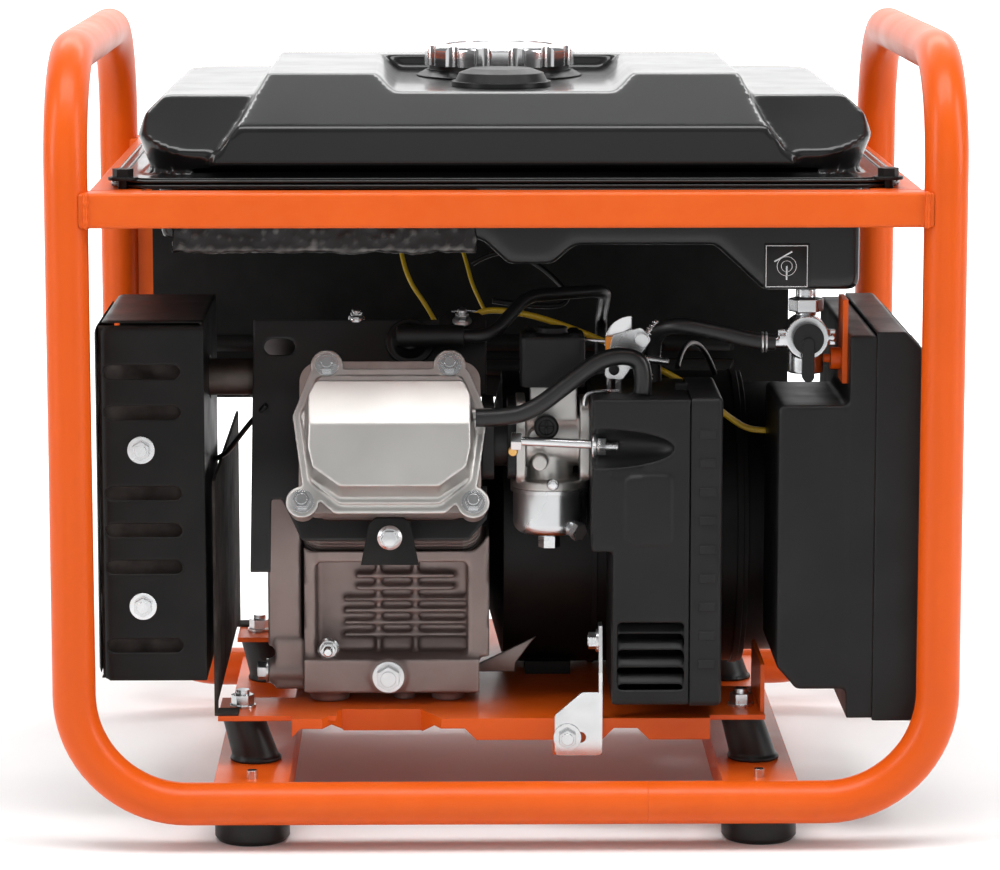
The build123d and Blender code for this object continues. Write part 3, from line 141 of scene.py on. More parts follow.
def surface(name, color, rough, metal=0.0, coat=0.0, vary=0.12, grain=400.0, relief=0.00003,
            strength=0.35, worn=None, wear=0.3, brushed=None, dust=0.0, rough_vary=0.1,
            ease=0.0009, specular=0.5):
    """A procedural finish: mottled colour, uneven gloss, fine relief and worn convex edges."""
    g = Graph(name)
    low = tuple(c * (1 - vary) for c in color)
    high = tuple(min(1.0, c * (1 + vary)) for c in color)
    tint = g.mix(g.spread(g.noise(MOTTLE, 5.0, seed=1.0), 0.0, 1.0), low, high)
    if worn:
        tint = g.mix(g.edges(wear), tint, worn)
    if dust:
        patches = g.spread(g.noise(DUSTING, 6.0, seed=4.0), 0.0, 1.0, 0.45, 0.75)
        tint = g.mix(g.times(patches, dust), tint, DUST)
    g.links.new(tint, g.shader.inputs["Base Color"])
    glossy, dull = max(0.02, rough - rough_vary), min(1.0, rough + rough_vary)
    uneven = g.spread(g.noise(SMEAR, 4.0, seed=2.0), glossy, dull)
    g.links.new(uneven, g.shader.inputs["Roughness"])
    g.shader.inputs["Metallic"].default_value = metal
    g.shader.inputs["Coat Weight"].default_value = coat
    g.shader.inputs["Coat Roughness"].default_value = COAT_ROUGHNESS
    g.shader.inputs["Specular IOR Level"].default_value = specular
    fine = g.noise(grain, 2.0, stretch=brushed, seed=3.0)
    wave = g.noise(WAVE, 2.0, seed=5.0)
    g.bump(ease, (wave, WAVE_HEIGHT, WAVE_STRENGTH), (fine, relief, strength))
    return g.mat


# the record's material slots, then finishes that single pieces wear instead of their slot's
M = {
    "orange_paint": surface("orange paint", (0.66, 0.088, 0.004), 0.38, coat=0.06, vary=0.04,
                            grain=260.0, relief=0.00002, strength=0.12, worn=(0.90, 0.22, 0.05),
                            wear=0.12, rough_vary=0.05, specular=0.22),
    "tank_paint": surface("tank paint", (0.0040, 0.0041, 0.0044), 0.38, coat=0.5, vary=0.15,
                          grain=1400.0, relief=0.00002, strength=0.12, worn=(0.015, 0.015, 0.015),
                          wear=0.15, rough_vary=0.05, specular=0.2),
    "black_paint": surface("heat paint", (0.0060, 0.0058, 0.0057), 0.42, vary=0.2, grain=900.0,
                           relief=0.00003, strength=0.25, worn=(0.04, 0.038, 0.036), wear=0.2,
                           dust=0.01, specular=0.18),
    "zinc": surface("zinc", (0.62, 0.63, 0.64), 0.26, metal=1.0, vary=0.12, grain=500.0,
                    strength=0.2, worn=(0.9, 0.9, 0.9), wear=0.4, ease=0.0005),
    "steel": surface("steel", (0.42, 0.42, 0.43), 0.32, metal=1.0, vary=0.12,
                     brushed=(1.0, 12.0, 12.0)),
    "cast_alloy": surface("cast alloy", (0.270, 0.212, 0.198), 0.44, metal=0.6, vary=0.18,
                          grain=620.0, relief=0.00012, strength=0.5, worn=(0.50, 0.46, 0.43),
                          wear=0.5, dust=0.03),
    "bright_alloy": surface("blasted alloy", (0.52, 0.508, 0.49), 0.42, metal=1.0, vary=0.05,
                            grain=1500.0, relief=0.00006, strength=0.5, worn=(0.95, 0.95, 0.94),
                            wear=0.6, rough_vary=0.04),
    "exhaust_steel": surface("exhaust steel", (0.060, 0.048, 0.042), 0.50, metal=0.8, vary=0.3,
                             grain=300.0, worn=(0.3, 0.25, 0.22), wear=0.3, dust=0.05),
    # the sheet set inside the muffler guard behind its slots wears this near-black, almost
    # unreflecting finish as painted shade
    "shield_steel": surface("shield sheet", (0.010, 0.008, 0.007), 0.85, metal=0.0, specular=0.04,
                            vary=0.25, grain=300.0, worn=(0.2, 0.18, 0.17), wear=0.3),
    "copper": surface("winding", (0.55, 0.22, 0.09), 0.35, metal=0.8, vary=0.2,
                      brushed=(1.0, 30.0, 1.0)),
    "rubber": surface("rubber", (0.0060, 0.0060, 0.0060), 0.42, vary=0.2, grain=800.0,
                      relief=0.00004, strength=0.2, dust=0.01, specular=0.35),
    "hose_rubber": surface("hose rubber", (0.0085, 0.0085, 0.0088), 0.38, vary=0.2, grain=900.0,
                           relief=0.00004, strength=0.25, specular=0.45),
    "black_plastic": surface("black plastic", (0.0060, 0.0061, 0.0065), 0.45, vary=0.15,
                             grain=1300.0, relief=0.00007, strength=0.4, worn=(0.025, 0.025, 0.025),
                             wear=0.2, dust=0.005, specular=0.28),
    "grey_plastic": surface("grey plastic", (0.05, 0.05, 0.053), 0.45, vary=0.15, grain=1300.0,
                            relief=0.00005, strength=0.3),
    "yellow_wire": surface("wire insulation", (0.78, 0.50, 0.02), 0.35, vary=0.08),
    "chrome": surface("chrome", (0.78, 0.78, 0.79), 0.12, metal=1.0, vary=0.04, grain=300.0,
                      strength=0.05, rough_vary=0.04, ease=0.0006),
    "foil": surface("heat barrier", (0.014, 0.012, 0.012), 0.30, metal=0.5, vary=0.4, grain=240.0,
                    relief=0.0003, strength=0.5, worn=(0.5, 0.48, 0.46), wear=0.5),
    "foam": surface("foam", (0.02, 0.02, 0.02), 0.9, vary=0.4, grain=900.0, relief=0.0004,
                    strength=0.8),
    "red_plastic": surface("red plastic", (0.62, 0.02, 0.012), 0.3, vary=0.08),
    "brass": surface("brass", (0.72, 0.42, 0.14), 0.28, metal=1.0, vary=0.1),
    "shroud_paint": surface("shroud paint", (0.018, 0.018, 0.018), 0.44, vary=0.2, grain=1300.0,
                            relief=0.00006, strength=0.5, worn=(0.08, 0.08, 0.08), wear=0.25,
                            specular=0.3),
    "amber_plastic": surface("amber plastic", (0.80, 0.27, 0.02), 0.32, vary=0.08),
}

for record_part in frame["record"]["subparts"]:
    node = frame["nodes"][record_part["node"]]
    node.data.materials.clear()
    node.data.materials.append(M[record_part["material_slot"]])


# ---------------------------------------------------------------- pieces
MM = 0.001
BODY = "frame"


def linked(name, data):
    """A new object of a mesh or curve, in the scene."""
    obj = bpy.data.objects.new(name, data)
    bpy.context.scene.collection.objects.link(obj)
    return obj


def finished(obj, slot, body=BODY, material=None):
    """Gives a new piece its material and its body."""
    obj.data.materials.clear()
    obj.data.materials.append(material or M[slot])
    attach(obj, body)
    return obj


def mesh_object(name, bm, smooth_angle=35.0):
    """A smooth-shaded piece of a bmesh, with its sharp creases kept."""
    mesh = bpy.data.meshes.new(name)
    bmesh.ops.recalc_face_normals(bm, faces=bm.faces)
    bm.to_mesh(mesh)
    bm.free()
    for face in mesh.polygons:
        face.use_smooth = True
    obj = linked(name, mesh)
    mesh.set_sharp_from_angle(angle=math.radians(smooth_angle))
    return obj


def bare(obj):
    """Applies an object's modifiers, so that its mesh is what shows."""
    depsgraph = bpy.context.evaluated_depsgraph_get()
    mesh = bpy.data.meshes.new_from_object(obj.evaluated_get(depsgraph))
    obj.modifiers.clear()
    obj.data = mesh


def trimmed(bm, spot, outward):
    """Cuts away what lies outside a plane."""
    geom = bm.verts[:] + bm.edges[:] + bm.faces[:]
    bmesh.ops.bisect_plane(bm, geom=geom, plane_co=spot, plane_no=outward, clear_outer=True)


def ellipsoid(bm, centre, radii, below=None):
    """A closed ellipsoid in millimetres, or the part of it behind the plane Y = below."""
    shape = Matrix.Translation(Vector(centre) * MM) @ Matrix.Diagonal((*(Vector(radii) * MM), 1))
    bmesh.ops.create_uvsphere(bm, u_segments=48, v_segments=32, radius=1.0, matrix=shape)
    if below is not None:
        trimmed(bm, (0, below * MM, 0), (0, -1, 0))


def softened(name, node, slot, voxel, rounds, cut=None, material=None):
    """A CAD node's shape with every crease rolled over, as a pressing or a moulding has it."""
    source = frame["nodes"][node]
    obj = linked(name, source.data.copy())
    weld = obj.modifiers.new("weld", "WELD")
    weld.merge_threshold = 0.00001
    if cut:
        carve = obj.modifiers.new("carve", "BOOLEAN")
        carve.operation = "DIFFERENCE"
        carve.solver = "EXACT"
        carve.object = cut
    remesh = obj.modifiers.new("remesh", "REMESH")
    remesh.mode = "VOXEL"
    remesh.voxel_size = voxel
    remesh.use_smooth_shade = True
    smooth = obj.modifiers.new("smooth", "SMOOTH")
    smooth.factor = 0.5
    smooth.iterations = rounds
    bpy.context.view_layer.update()
    bare(obj)
    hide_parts(node)
    finished(obj, slot, material=material)


def lathe(bm, profile, frame_matrix, steps=32):
    """Turns (radius, height) points round a plane's own axis into a closed skin."""
    rings = []
    for radius, height in profile:
        if radius < 1e-7:
            rings.append([bm.verts.new(frame_matrix @ Vector((0, 0, height)))])
            continue
        ring = []
        for k in range(steps):
            turn = 2 * math.pi * k / steps
            spot = Vector((radius * math.cos(turn), radius * math.sin(turn), height))
            ring.append(bm.verts.new(frame_matrix @ spot))
        rings.append(ring)
    for low, high in zip(rings, rings[1:]):
        for k in range(steps):
            nxt = (k + 1) % steps
            corners = [low[k % len(low)], low[nxt % len(low)],
                       high[nxt % len(high)], high[k % len(high)]]
            unique = []
            for corner in corners:
                if corner not in unique:
                    unique.append(corner)
            if len(unique) > 2:
                bm.faces.new(unique)


def plane_at(x, y, z, direction):
    """A frame at a point in millimetres whose own Z looks along a direction."""
    turn = Vector(direction).normalized().to_track_quat("Z", "Y").to_matrix().to_4x4()
    return Matrix.Translation(Vector((x, y, z)) * MM) @ turn


def slab_mesh(bm, outline, thick, frame_matrix, bevel=0.4):
    """A plate of an outline in millimetres, with its rims eased."""
    low = [bm.verts.new(frame_matrix @ (Vector((a, b, 0)) * MM)) for a, b in outline]
    high = [bm.verts.new(frame_matrix @ (Vector((a, b, thick)) * MM)) for a, b in outline]
    faces = [bm.faces.new(low[::-1]), bm.faces.new(high)]
    count = len(outline)
    for k in range(count):
        faces.append(bm.faces.new((low[k], low[(k + 1) % count], high[(k + 1) % count], high[k])))
    if bevel:
        rims = {edge for face in faces[:2] for edge in face.edges}
        bmesh.ops.bevel(bm, geom=list(rims), offset=bevel * MM, segments=2, profile=0.6,
                        affect="EDGES")


def hexagon(radius):
    turns = [2 * math.pi * k / 6 for k in range(6)]
    return [(radius * math.cos(turn), radius * math.sin(turn)) for turn in turns]


def rectangle(left, bottom, right, top):
    return [(left, bottom), (right, bottom), (right, top), (left, top)]


def wire(name, points, radius, slot):
    """A round wire or rod along points in millimetres."""
    curve = bpy.data.curves.new(name, "CURVE")
    curve.dimensions = "3D"
    curve.bevel_depth = radius * MM
    curve.bevel_resolution = 4
    curve.use_fill_caps = True
    curve.resolution_u = 12
    spline = curve.splines.new("NURBS")
    spline.points.add(len(points) - 1)
    for point, place in zip(spline.points, points):
        point.co = (*(Vector(place) * MM), 1.0)
    spline.order_u = 3
    spline.use_endpoint_u = True
    return finished(linked(name, curve), slot)


THREAD_PITCH = 0.8  # of a stud, in millimetres


def flange_nut(bm, place, across, height, stud=0.0):
    """A flange nut in millimetres, with a stud standing out of it if stud is more than nothing."""
    lathe(bm, [(0, 0), (across * 1.45 * MM, 0), (across * 1.45 * MM, 0.0007),
               (across * 1.12 * MM, 0.0021), (0, 0.0021)], place, 28)
    slab_mesh(bm, hexagon(across), height, place @ Matrix.Translation((0, 0, 0.0017)), 0.5)
    if stud:
        top = (height + 1.7) * MM
        profile = [(0, top - 0.001)]
        turns = int(stud / THREAD_PITCH)
        for turn in range(turns):
            profile += [(0.0024, top + turn * 0.0008), (0.0028, top + turn * 0.0008 + 0.0004)]
        profile += [(0.0021, top + stud * MM), (0, top + stud * MM)]
        lathe(bm, profile, place, 20)


def spring(name, start, end, coil_radius, turns, radius, slot):
    """A coil spring between two points in millimetres."""
    a, b = Vector(start), Vector(end)
    axis = (b - a).normalized()
    side = axis.orthogonal().normalized()
    up = axis.cross(side)
    steps = turns * 10
    points = []
    for k in range(steps + 1):
        angle = 2 * math.pi * k * turns / steps
        around = (side * math.cos(angle) + up * math.sin(angle)) * coil_radius
        points.append(a + (b - a) * (k / steps) + around)
    wire(name, points, radius, slot)


# pressings, castings and mouldings, with their creases rolled over
softened("tank_top_skin", "tank_upper", "tank_paint", 0.0021, 5)
softened("tank_bottom_skin", "tank_lower", "tank_paint", 0.0022, 4)
softened("valve_cover_skin", "valve_cover", "bright_alloy", 0.0008, 5)
softened("crankcase_skin", "crankcase", "cast_alloy", 0.0015, 2)
softened("crankcase_cover_skin", "crankcase_cover", "cast_alloy", 0.0014, 2)
softened("carburettor_skin", "carburettor_body", "bright_alloy", 0.0006, 4)
softened("plug_boot_skin", "spark_plug_boot", "rubber", 0.0006, 5)
softened("throttle_motor_skin", "throttle_motor", "black_plastic", 0.0007, 4)
softened("isolators_skin", "engine_isolators", "rubber", 0.0010, 4)
softened("box_rear_skin", "panel_box_rear", "black_plastic", 0.0015, 4)
softened("box_front_skin", "panel_box_front", "black_plastic", 0.0015, 3)
softened("guard_skin", "muffler_guard", "black_paint", 0.0011, 2)
softened("shroud_skin", "head_shroud", "black_paint", 0.0009, 3, material=M["shroud_paint"])
softened("valve_body_skin", "fuel_valve_body", "zinc", 0.0006, 3)

# the air cleaner's case, with the scoop that leads to its stud
case_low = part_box("air_cleaner_case")[0]
case_front = case_low[1] / MM
SCOOP_AT, SCOOP = (50.0, case_front + 1.2, 232.0), (48.0, 15.0, 11.5)
bm = bmesh.new()
ellipsoid(bm, SCOOP_AT, SCOOP)
cutter = mesh_object("scoop_cutter", bm)
softened("air_case_skin", "air_cleaner_case", "black_plastic", 0.0012, 3, cut=cutter)
bpy.data.objects.remove(cutter)
bm = bmesh.new()
ellipsoid(bm, SCOOP_AT, [radius + 0.3 for radius in SCOOP], below=case_front + 2.0)
trimmed(bm, (case_low[0] + 0.001, 0, 0), (-1, 0, 0))
scoop = mesh_object("air_case_scoop", bm)
thick = scoop.modifiers.new("thick", "SOLIDIFY")
thick.thickness = 0.0012
thick.offset = 1.0
bpy.context.view_layer.update()
bare(scoop)
finished(scoop, "black_plastic")

# the hoses, as one smooth sweep each
hose = wire("breather_hose_skin",
            [(-17.5, -158, 249.2), (-6, -158, 249.2), (14, -157, 252), (38, -153, 270),
             (58, -151, 284.5), (78, -150, 284), (80.5, -150, 270), (79.5, -150, 262.6)],
            5.2, "hose_rubber")
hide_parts("breather_hose")
hose = wire("fuel_hose_skin",
            [(157.5, -140, 291), (147, -140, 291.3), (126, -139, 296.5), (100, -132, 301),
             (88, -120, 294), (87, -112, 276), (88, -112, 264)],
            4.9, "hose_rubber")
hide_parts("fuel_hose")

# the tank's rolled rim: a bead that runs round the joined flanges
RIM_HALF_X, RIM_HALF_Y, RIM_CORNER, RIM_STEPS = 0.2268, 0.1738, 0.0258, 8
rim = []
for cx, cy, start in ((1, 1, 0), (-1, 1, 90), (-1, -1, 180), (1, -1, 270)):
    for step in range(RIM_STEPS + 1):
        angle = math.radians(start + 90 * step / RIM_STEPS)
        rim.append(((RIM_HALF_X - RIM_CORNER) * cx + RIM_CORNER * math.cos(angle),
                    (RIM_HALF_Y - RIM_CORNER) * cy + RIM_CORNER * math.sin(angle)))


def rim_bead(name, level, inset, radius):
    """A thin pressed bead that follows the flange's outline."""
    curve = bpy.data.curves.new(name, "CURVE")
    curve.dimensions = "3D"
    curve.bevel_depth = radius
    curve.bevel_resolution = 3
    spline = curve.splines.new("POLY")
    spline.points.add(len(rim) - 1)
    for point, (x, y) in zip(spline.points, rim):
        long = math.hypot(x, y)
        point.co = (x * (1 - inset / long), y * (1 - inset / long), level, 1.0)
    spline.use_cyclic_u = True
    finished(linked(name, curve), "tank_paint")


rim_bead("tank_rim_upper", 0.3884, 0.0, 0.0009)
rim_bead("tank_rim_lower", 0.3858, 0.0, 0.0009)
rim_bead("tank_rim_step", 0.3893, 0.0065, 0.0007)

# the fuel cap's dark insert, with three plain red marks
cap_low, cap_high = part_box("fuel_cap")
cap_x = (cap_low[0] + cap_high[0]) / 2 / MM
cap_y = (cap_low[1] + cap_high[1]) / 2 / MM
bm = bmesh.new()
place = plane_at(cap_x, cap_y, cap_high[2] / MM - 2.6, (0, 0, 1))
lathe(bm, [(0, 0.0012), (0.010, 0.0013), (0.0105, 0.0018), (0.0135, 0.0018), (0.0140, 0.0013),
           (0.0265, 0.0012), (0.0285, 0.0006), (0.0295, -0.0002), (0.0295, -0.0012), (0, -0.0012)],
      place, 64)
finished(mesh_object("cap_insert", bm), "black_plastic", "cap")
bm = bmesh.new()
place = plane_at(cap_x, cap_y, cap_high[2] / MM - 1.5, (0, 0, 1))
for k in range(3):
    turned = place @ Matrix.Rotation(2 * math.pi * k / 3, 4, "Z")
    slab_mesh(bm, [(17, -2.4), (22.5, -3.6), (22.5, 3.6), (17, 2.4)], 0.45, turned, 0.15)
finished(mesh_object("cap_marks", bm), "red_plastic", "cap")

# the fuel valve's picture plate on the tank: a square, a valve and its lever, no letters
bm = bmesh.new()
place = plane_at(163.0, -148.2, 336.5, (0, -1, 0))
slab_mesh(bm, rectangle(-13.2, -13.2, 13.2, 13.2), 0.35, place, 0.12)
finished(mesh_object("picture_plate", bm), "black_plastic")
bm = bmesh.new()
for sides in ((-12.2, -12.2, 12.2, -11.7), (-12.2, 11.7, 12.2, 12.2), (-12.2, -11.7, -11.7, 11.7),
              (11.7, -11.7, 12.2, 11.7)):
    slab_mesh(bm, rectangle(*sides), 0.5, place, 0.0)
ring = place @ Matrix.Translation((0, 0, 0.0003))
for inner in (3.0, 5.4):
    outer = inner + 0.35
    lathe(bm, [(inner * MM, 0), (inner * MM, 0.0002), (outer * MM, 0.0002), (outer * MM, 0)],
          ring, 40)
slab_mesh(bm, rectangle(-0.5, -8.0, 0.5, 0.2), 0.5, place, 0.0)
slab_mesh(bm, [(-7.6, 3.0), (-6.9, 2.4), (3.4, 8.2), (2.9, 9.0)], 0.5, place, 0.0)
finished(mesh_object("picture_lines", bm), "zinc")

# nuts on the air cleaner, the crankcase and the carburettor, then the carburettor's spacer rod,
# idle screw and choke plug
air_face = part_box("air_cleaner_case")[0][0] / MM
carb_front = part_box("carburettor_body")[0][1] / MM
bm = bmesh.new()
flange_nut(bm, plane_at(air_face + 2.0, -150, 231.5, (1, -0.25, 0)), 5.6, 5.5, 7.0)
flange_nut(bm, plane_at(-105.5, -101.5, 101, (0, -1, 0)), 4.6, 4.5, 6.0)
flange_nut(bm, plane_at(28, carb_front + 3.0, 206.5, (0, -1, 0)), 2.6, 1.6)
finished(mesh_object("studs_and_nuts", bm), "zinc")
wire("spacer_rod", [(6, -146, 234), (20, -146, 233.3), (40, -146, 232.3), (54, -146, 231.6)],
     2.7, "zinc")
bm = bmesh.new()
slab_mesh(bm, hexagon(5.8), 6.5, plane_at(3.0, -146, 234.2, (1, 0, -0.04)), 0.5)
finished(mesh_object("rod_nut", bm), "zinc")
bm = bmesh.new()
place = plane_at(4.2, -147.5, 228.0, (0, -1, 0))
lathe(bm, [(0, -0.010), (0.0030, -0.010), (0.0030, 0.0006), (0.0024, 0.0014), (0, 0.0014)],
      place, 28)
finished(mesh_object("idle_screw", bm), "copper", material=M["brass"])
bm = bmesh.new()
place = plane_at(24.0, -140.0, 241.0, (0, -1, 0.1))
lathe(bm, [(0, -0.012), (0.0072, -0.012), (0.0072, 0.001), (0.0060, 0.0024), (0.0046, 0.0024),
           (0.0042, 0.0012), (0, 0.0012)], place, 36)
place = place @ Matrix.Translation((0, 0, 0.0012))
slab_mesh(bm, rectangle(-4.0, -0.7, 4.0, 0.7), 1.0, place, 0.1)
slab_mesh(bm, rectangle(-0.7, -4.0, 0.7, 4.0), 1.0, place, 0.1)
finished(mesh_object("choke_plug", bm), "black_plastic")

# governor: quadrant, orange clip, rods, screw and springs
bm = bmesh.new()
quadrant = [(-9.5, -6), (6.5, -6), (6.5, 12)]
for degrees in range(10, 91, 10):
    turn = math.radians(degrees)
    quadrant.append((6.5 - 16 * math.sin(turn), -4 + 16 * math.cos(turn)))
slab_mesh(bm, quadrant, 1.4, plane_at(68.0, -119.0, 292.0, (0, -1, 0)), 0.25)
slab_mesh(bm, rectangle(-3, -16, 3, 8), 1.4, plane_at(77.0, -117.5, 288.0, (0, -1, 0)), 0.25)
finished(mesh_object("governor_quadrant", bm), "chrome")
bm = bmesh.new()
place = plane_at(64.5, -121.0, 287.5, (0, -1, 0))
slab_mesh(bm, rectangle(-5.5, -5, 5.5, 5), 4.5, place, 0.8)
slab_mesh(bm, rectangle(-3.2, -8, 3.2, -4.6), 3.0, place, 0.6)
finished(mesh_object("governor_clip", bm), "red_plastic", material=M["amber_plastic"])
wire("governor_rod", [(44, -119, 290), (58, -123, 289.5), (74, -123.5, 288.5), (80, -121, 288)],
     1.0, "zinc")
wire("governor_link_a", [(61, -121, 282), (61.2, -120, 262), (61, -118, 246), (61, -118, 236)],
     1.6, "zinc")
wire("governor_link_b", [(66.5, -120, 282), (67, -119, 262), (66.5, -117, 246), (66.5, -117, 236)],
     2.0, "chrome")
wire("throttle_link",
     [(46, -141, 254), (46, -142, 260), (51, -141, 262), (60, -138, 262), (66, -132, 261)],
     1.2, "zinc")
spring("governor_spring", (80, -116.5, 279), (92, -115.5, 277), 3.0, 7, 0.7, "chrome")
spring("idle_spring", (80, -123, 289), (90, -120, 300), 2.6, 6, 0.6, "chrome")
bm = bmesh.new()
slab_mesh(bm, hexagon(3.6), 3.5, plane_at(80.0, -121.0, 279.0, (-1, 0, 0.15)), 0.4)
lathe(bm, [(0, 0), (0.0022, 0), (0.0022, 0.018), (0.0016, 0.019), (0, 0.019)],
      plane_at(78.0, -121.0, 279.3, (1, 0.12, -0.15)), 20)
lathe(bm, [(0, 0), (0.0021, 0), (0.0021, 0.017), (0, 0.017)],
      plane_at(79.0, -122.5, 288.0, (0.66, 0.2, 0.75)), 20)
finished(mesh_object("governor_screws", bm), "zinc")

# hose clamps: two rings of spring wire each
CLAMP_RADIUS, CLAMP_WIRE, CLAMP_GAP = 0.0054, 0.0007, 0.0011
section = []
for degrees in range(0, 361, 45):
    turn = math.radians(degrees)
    section.append((CLAMP_RADIUS - CLAMP_WIRE * math.cos(turn), CLAMP_WIRE * math.sin(turn)))
for name, place in (
    ("clamp_valve", plane_at(151.0, -140.0, 291.0, (1, 0, 0))),
    ("clamp_case", plane_at(84.0, -112.0, 268.0, (0.2, 0, 1))),
):
    bm = bmesh.new()
    for shift in (-CLAMP_GAP, CLAMP_GAP):
        lathe(bm, section, place @ Matrix.Translation((0, 0, shift)), 26)
    finished(mesh_object(name, bm), "zinc")

# the wiring that hangs behind the engine
main_lead = wire("main_lead",
                 [(-20, -62, 290), (-18, -62, 298), (-6, -62, 301), (20, -63, 297),
                  (58, -64, 283), (84, -66, 270), (111, -68, 256), (138, -70, 234),
                  (149, -70, 228), (158, -70, 228)],
                 1.9, "yellow_wire")
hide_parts("wiring")
wire("yellow_lead_rear",
     [(-66, 20, 352), (-64, 10, 335), (-58, -6, 312), (-46, -10, 296), (-40, -8, 284)],
     1.4, "yellow_wire")
wire("yellow_lead_tail", [(-28, 20, 340), (-22, 10, 322), (-18, 0, 306), (-10, -8, 292)],
     1.2, "yellow_wire")
wire("dark_lead_a",
     [(-18, 30, 318), (0, 24, 330), (26, 10, 318), (44, -4, 300), (30, -10, 294), (-6, -14, 300)],
     1.7, "hose_rubber")
wire("dark_lead_b", [(104, -80, 268), (110, -40, 280), (128, 0, 268), (136, 20, 240)],
     1.6, "hose_rubber")
wire("ground_lead",
     [(-176, -40, 206), (-168, -60, 212), (-158, -86, 228), (-148, -104, 242), (-141, -110, 250)],
     1.6, "hose_rubber")
wire("bare_terminal", [(-31, -60, 299), (-24, -61, 300.5), (-11, -62, 299)], 0.8, "zinc")

# bolts and brackets on the head shroud
bm = bmesh.new()
flange_nut(bm, plane_at(-25.0, -86.0, 296.5, (0, -0.42, 0.9)), 4.0, 4.0, 3.0)
flange_nut(bm, plane_at(-88.0, -80.0, 297.5, (0, -0.42, 0.9)), 3.4, 3.0, 2.0)
flange_nut(bm, plane_at(-67.7, -156.0, 178.5, (0, -1, 0.05)), 5.0, 5.0)
finished(mesh_object("shroud_bolts", bm), "zinc")
bm = bmesh.new()
slab_mesh(bm, [(-17, -16), (17, -16), (12, 9), (8, 12), (-8, 12), (-12, 9)], 3.0,
          plane_at(-67.7, -152.5, 178.0, (0, -1, 0.05)), 0.8)
slab_mesh(bm, [(-14, -9), (14, -9), (14, 6), (10, 9), (-10, 9), (-14, 6)], 3.0,
          plane_at(-25.0, -83.0, 292.0, (0, -0.9, 0.42)), 0.8)
finished(mesh_object("shroud_brackets", bm), "black_paint")

# the small gusset between the crankcase and the generator
bm = bmesh.new()
slab_mesh(bm, [(-16, -8), (21, 10), (8, -6), (8, -12), (-14, -12)], 3.0,
          plane_at(-1.0, -60.0, 90.0, (0, -1, 0)), 0.7)
finished(mesh_object("gusset", bm), "cast_alloy")

# the finned regulator under the tank's right rear
FIN_PITCH = 5.0
bm = bmesh.new()
slab_mesh(bm, rectangle(-9, -15, 9, 15), 24.0, plane_at(224.0, 128.0, 352.0, (0, -1, 0)), 1.6)
place = plane_at(224.0, 127.0, 352.0, (0, -1, 0))
for k in range(5):
    rise = FIN_PITCH * k
    slab_mesh(bm, rectangle(-9.6, -11.4 + rise, 9.6, -9.4 + rise), 22.0, place, 0.3)
finished(mesh_object("regulator", bm), "black_plastic")

# louvre hoods over the rear baffle's vents, in millimetres
VENT_LEVELS, VENT_COLUMNS = (236, 252), range(-170, 131, 60)
HOOD_HALF, HOOD_TAPER, HOOD_REACH, HOOD_RISE, HOOD_LIP, HOOD_FOOT = 24.5, 3.0, 6.5, 5.6, 4.6, 5
HOOD_STEPS = 6


def hood_row(half, out, level):
    """The two side vertices of a hood at one distance from the baffle."""
    return [bm.verts.new(Vector((column + side * half, hood_root - out, level)) * MM)
            for side in (-1, 1)]


bm = bmesh.new()
hood_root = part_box("rear_baffle")[0][1] / MM - 0.1
for level in VENT_LEVELS:
    for column in VENT_COLUMNS:
        rows = []
        for step in range(HOOD_STEPS + 1):
            turn = math.radians(90 * step / HOOD_STEPS)
            half = HOOD_HALF - HOOD_TAPER * (1 - math.cos(turn))
            rows.append(hood_row(half, HOOD_REACH * math.sin(turn),
                                 level + HOOD_RISE * math.cos(turn)))
        rows.append(hood_row(HOOD_HALF - HOOD_TAPER, HOOD_REACH, level - HOOD_LIP))
        for low, high in zip(rows, rows[1:]):
            bm.faces.new((low[0], low[1], high[1], high[0]))
        for side in (0, 1):
            root_x = column + (2 * side - 1) * HOOD_HALF
            foot = bm.verts.new(Vector((root_x, hood_root, level - HOOD_FOOT)) * MM)
            for low, high in zip(rows, rows[1:]):
                bm.faces.new((foot, low[side], high[side]))
hoods = mesh_object("baffle_louvres", bm, 50.0)
thick = hoods.modifiers.new("thick", "SOLIDIFY")
thick.thickness = 0.0009
bpy.context.view_layer.update()
bare(hoods)
finished(hoods, "black_paint")

# painted shade: a near-black, almost unreflecting sheet and a floor set inside the muffler guard,
# behind its slots, so that the slots read dark
(guard_left, guard_front, _), (guard_right, guard_back, _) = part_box("muffler_guard")
bm = bmesh.new()
slab_mesh(bm, rectangle(guard_left / MM + 2.2, 93.0, guard_right / MM - 2.2, 300.5), 0.8,
          plane_at(0, guard_front / MM + 8.0, 0, (0, -1, 0)), 0.2)
slab_mesh(bm, rectangle(guard_left / MM + 2.0, guard_front / MM + 2.0,
                        guard_right / MM - 2.0, guard_back / MM - 2.0), 0.8,
          Matrix.Translation((0, 0, 0.0915)), 0.2)
finished(mesh_object("guard_shade_sheet", bm), "shield_steel")

# a clip on the air cleaner's top edge
bm = bmesh.new()
slab_mesh(bm, rectangle(-4, -3, 4, 3), 3.0, plane_at(103.5, -122.0, 258.5, (0, 0, 1)), 0.5)
slab_mesh(bm, rectangle(-4, -2.4, 3.2, 2.4), 3.6, plane_at(103.5, -122.0, 261.0, (0, 0, 1)), 0.5)
finished(mesh_object("lid_clip", bm), "black_plastic")


# the welds that join the crossbars to the hoops, in millimetres
WELD_X, WELD_Y, WELD_BACK_Y = 238.2, 198.0, 179.0
WELD_TOP, WELD_FOOT, WELD_BACK = 383.0, 365.0, 364.2
BEAD_RADIUS, BEAD_STEP = 1.9, 2.2


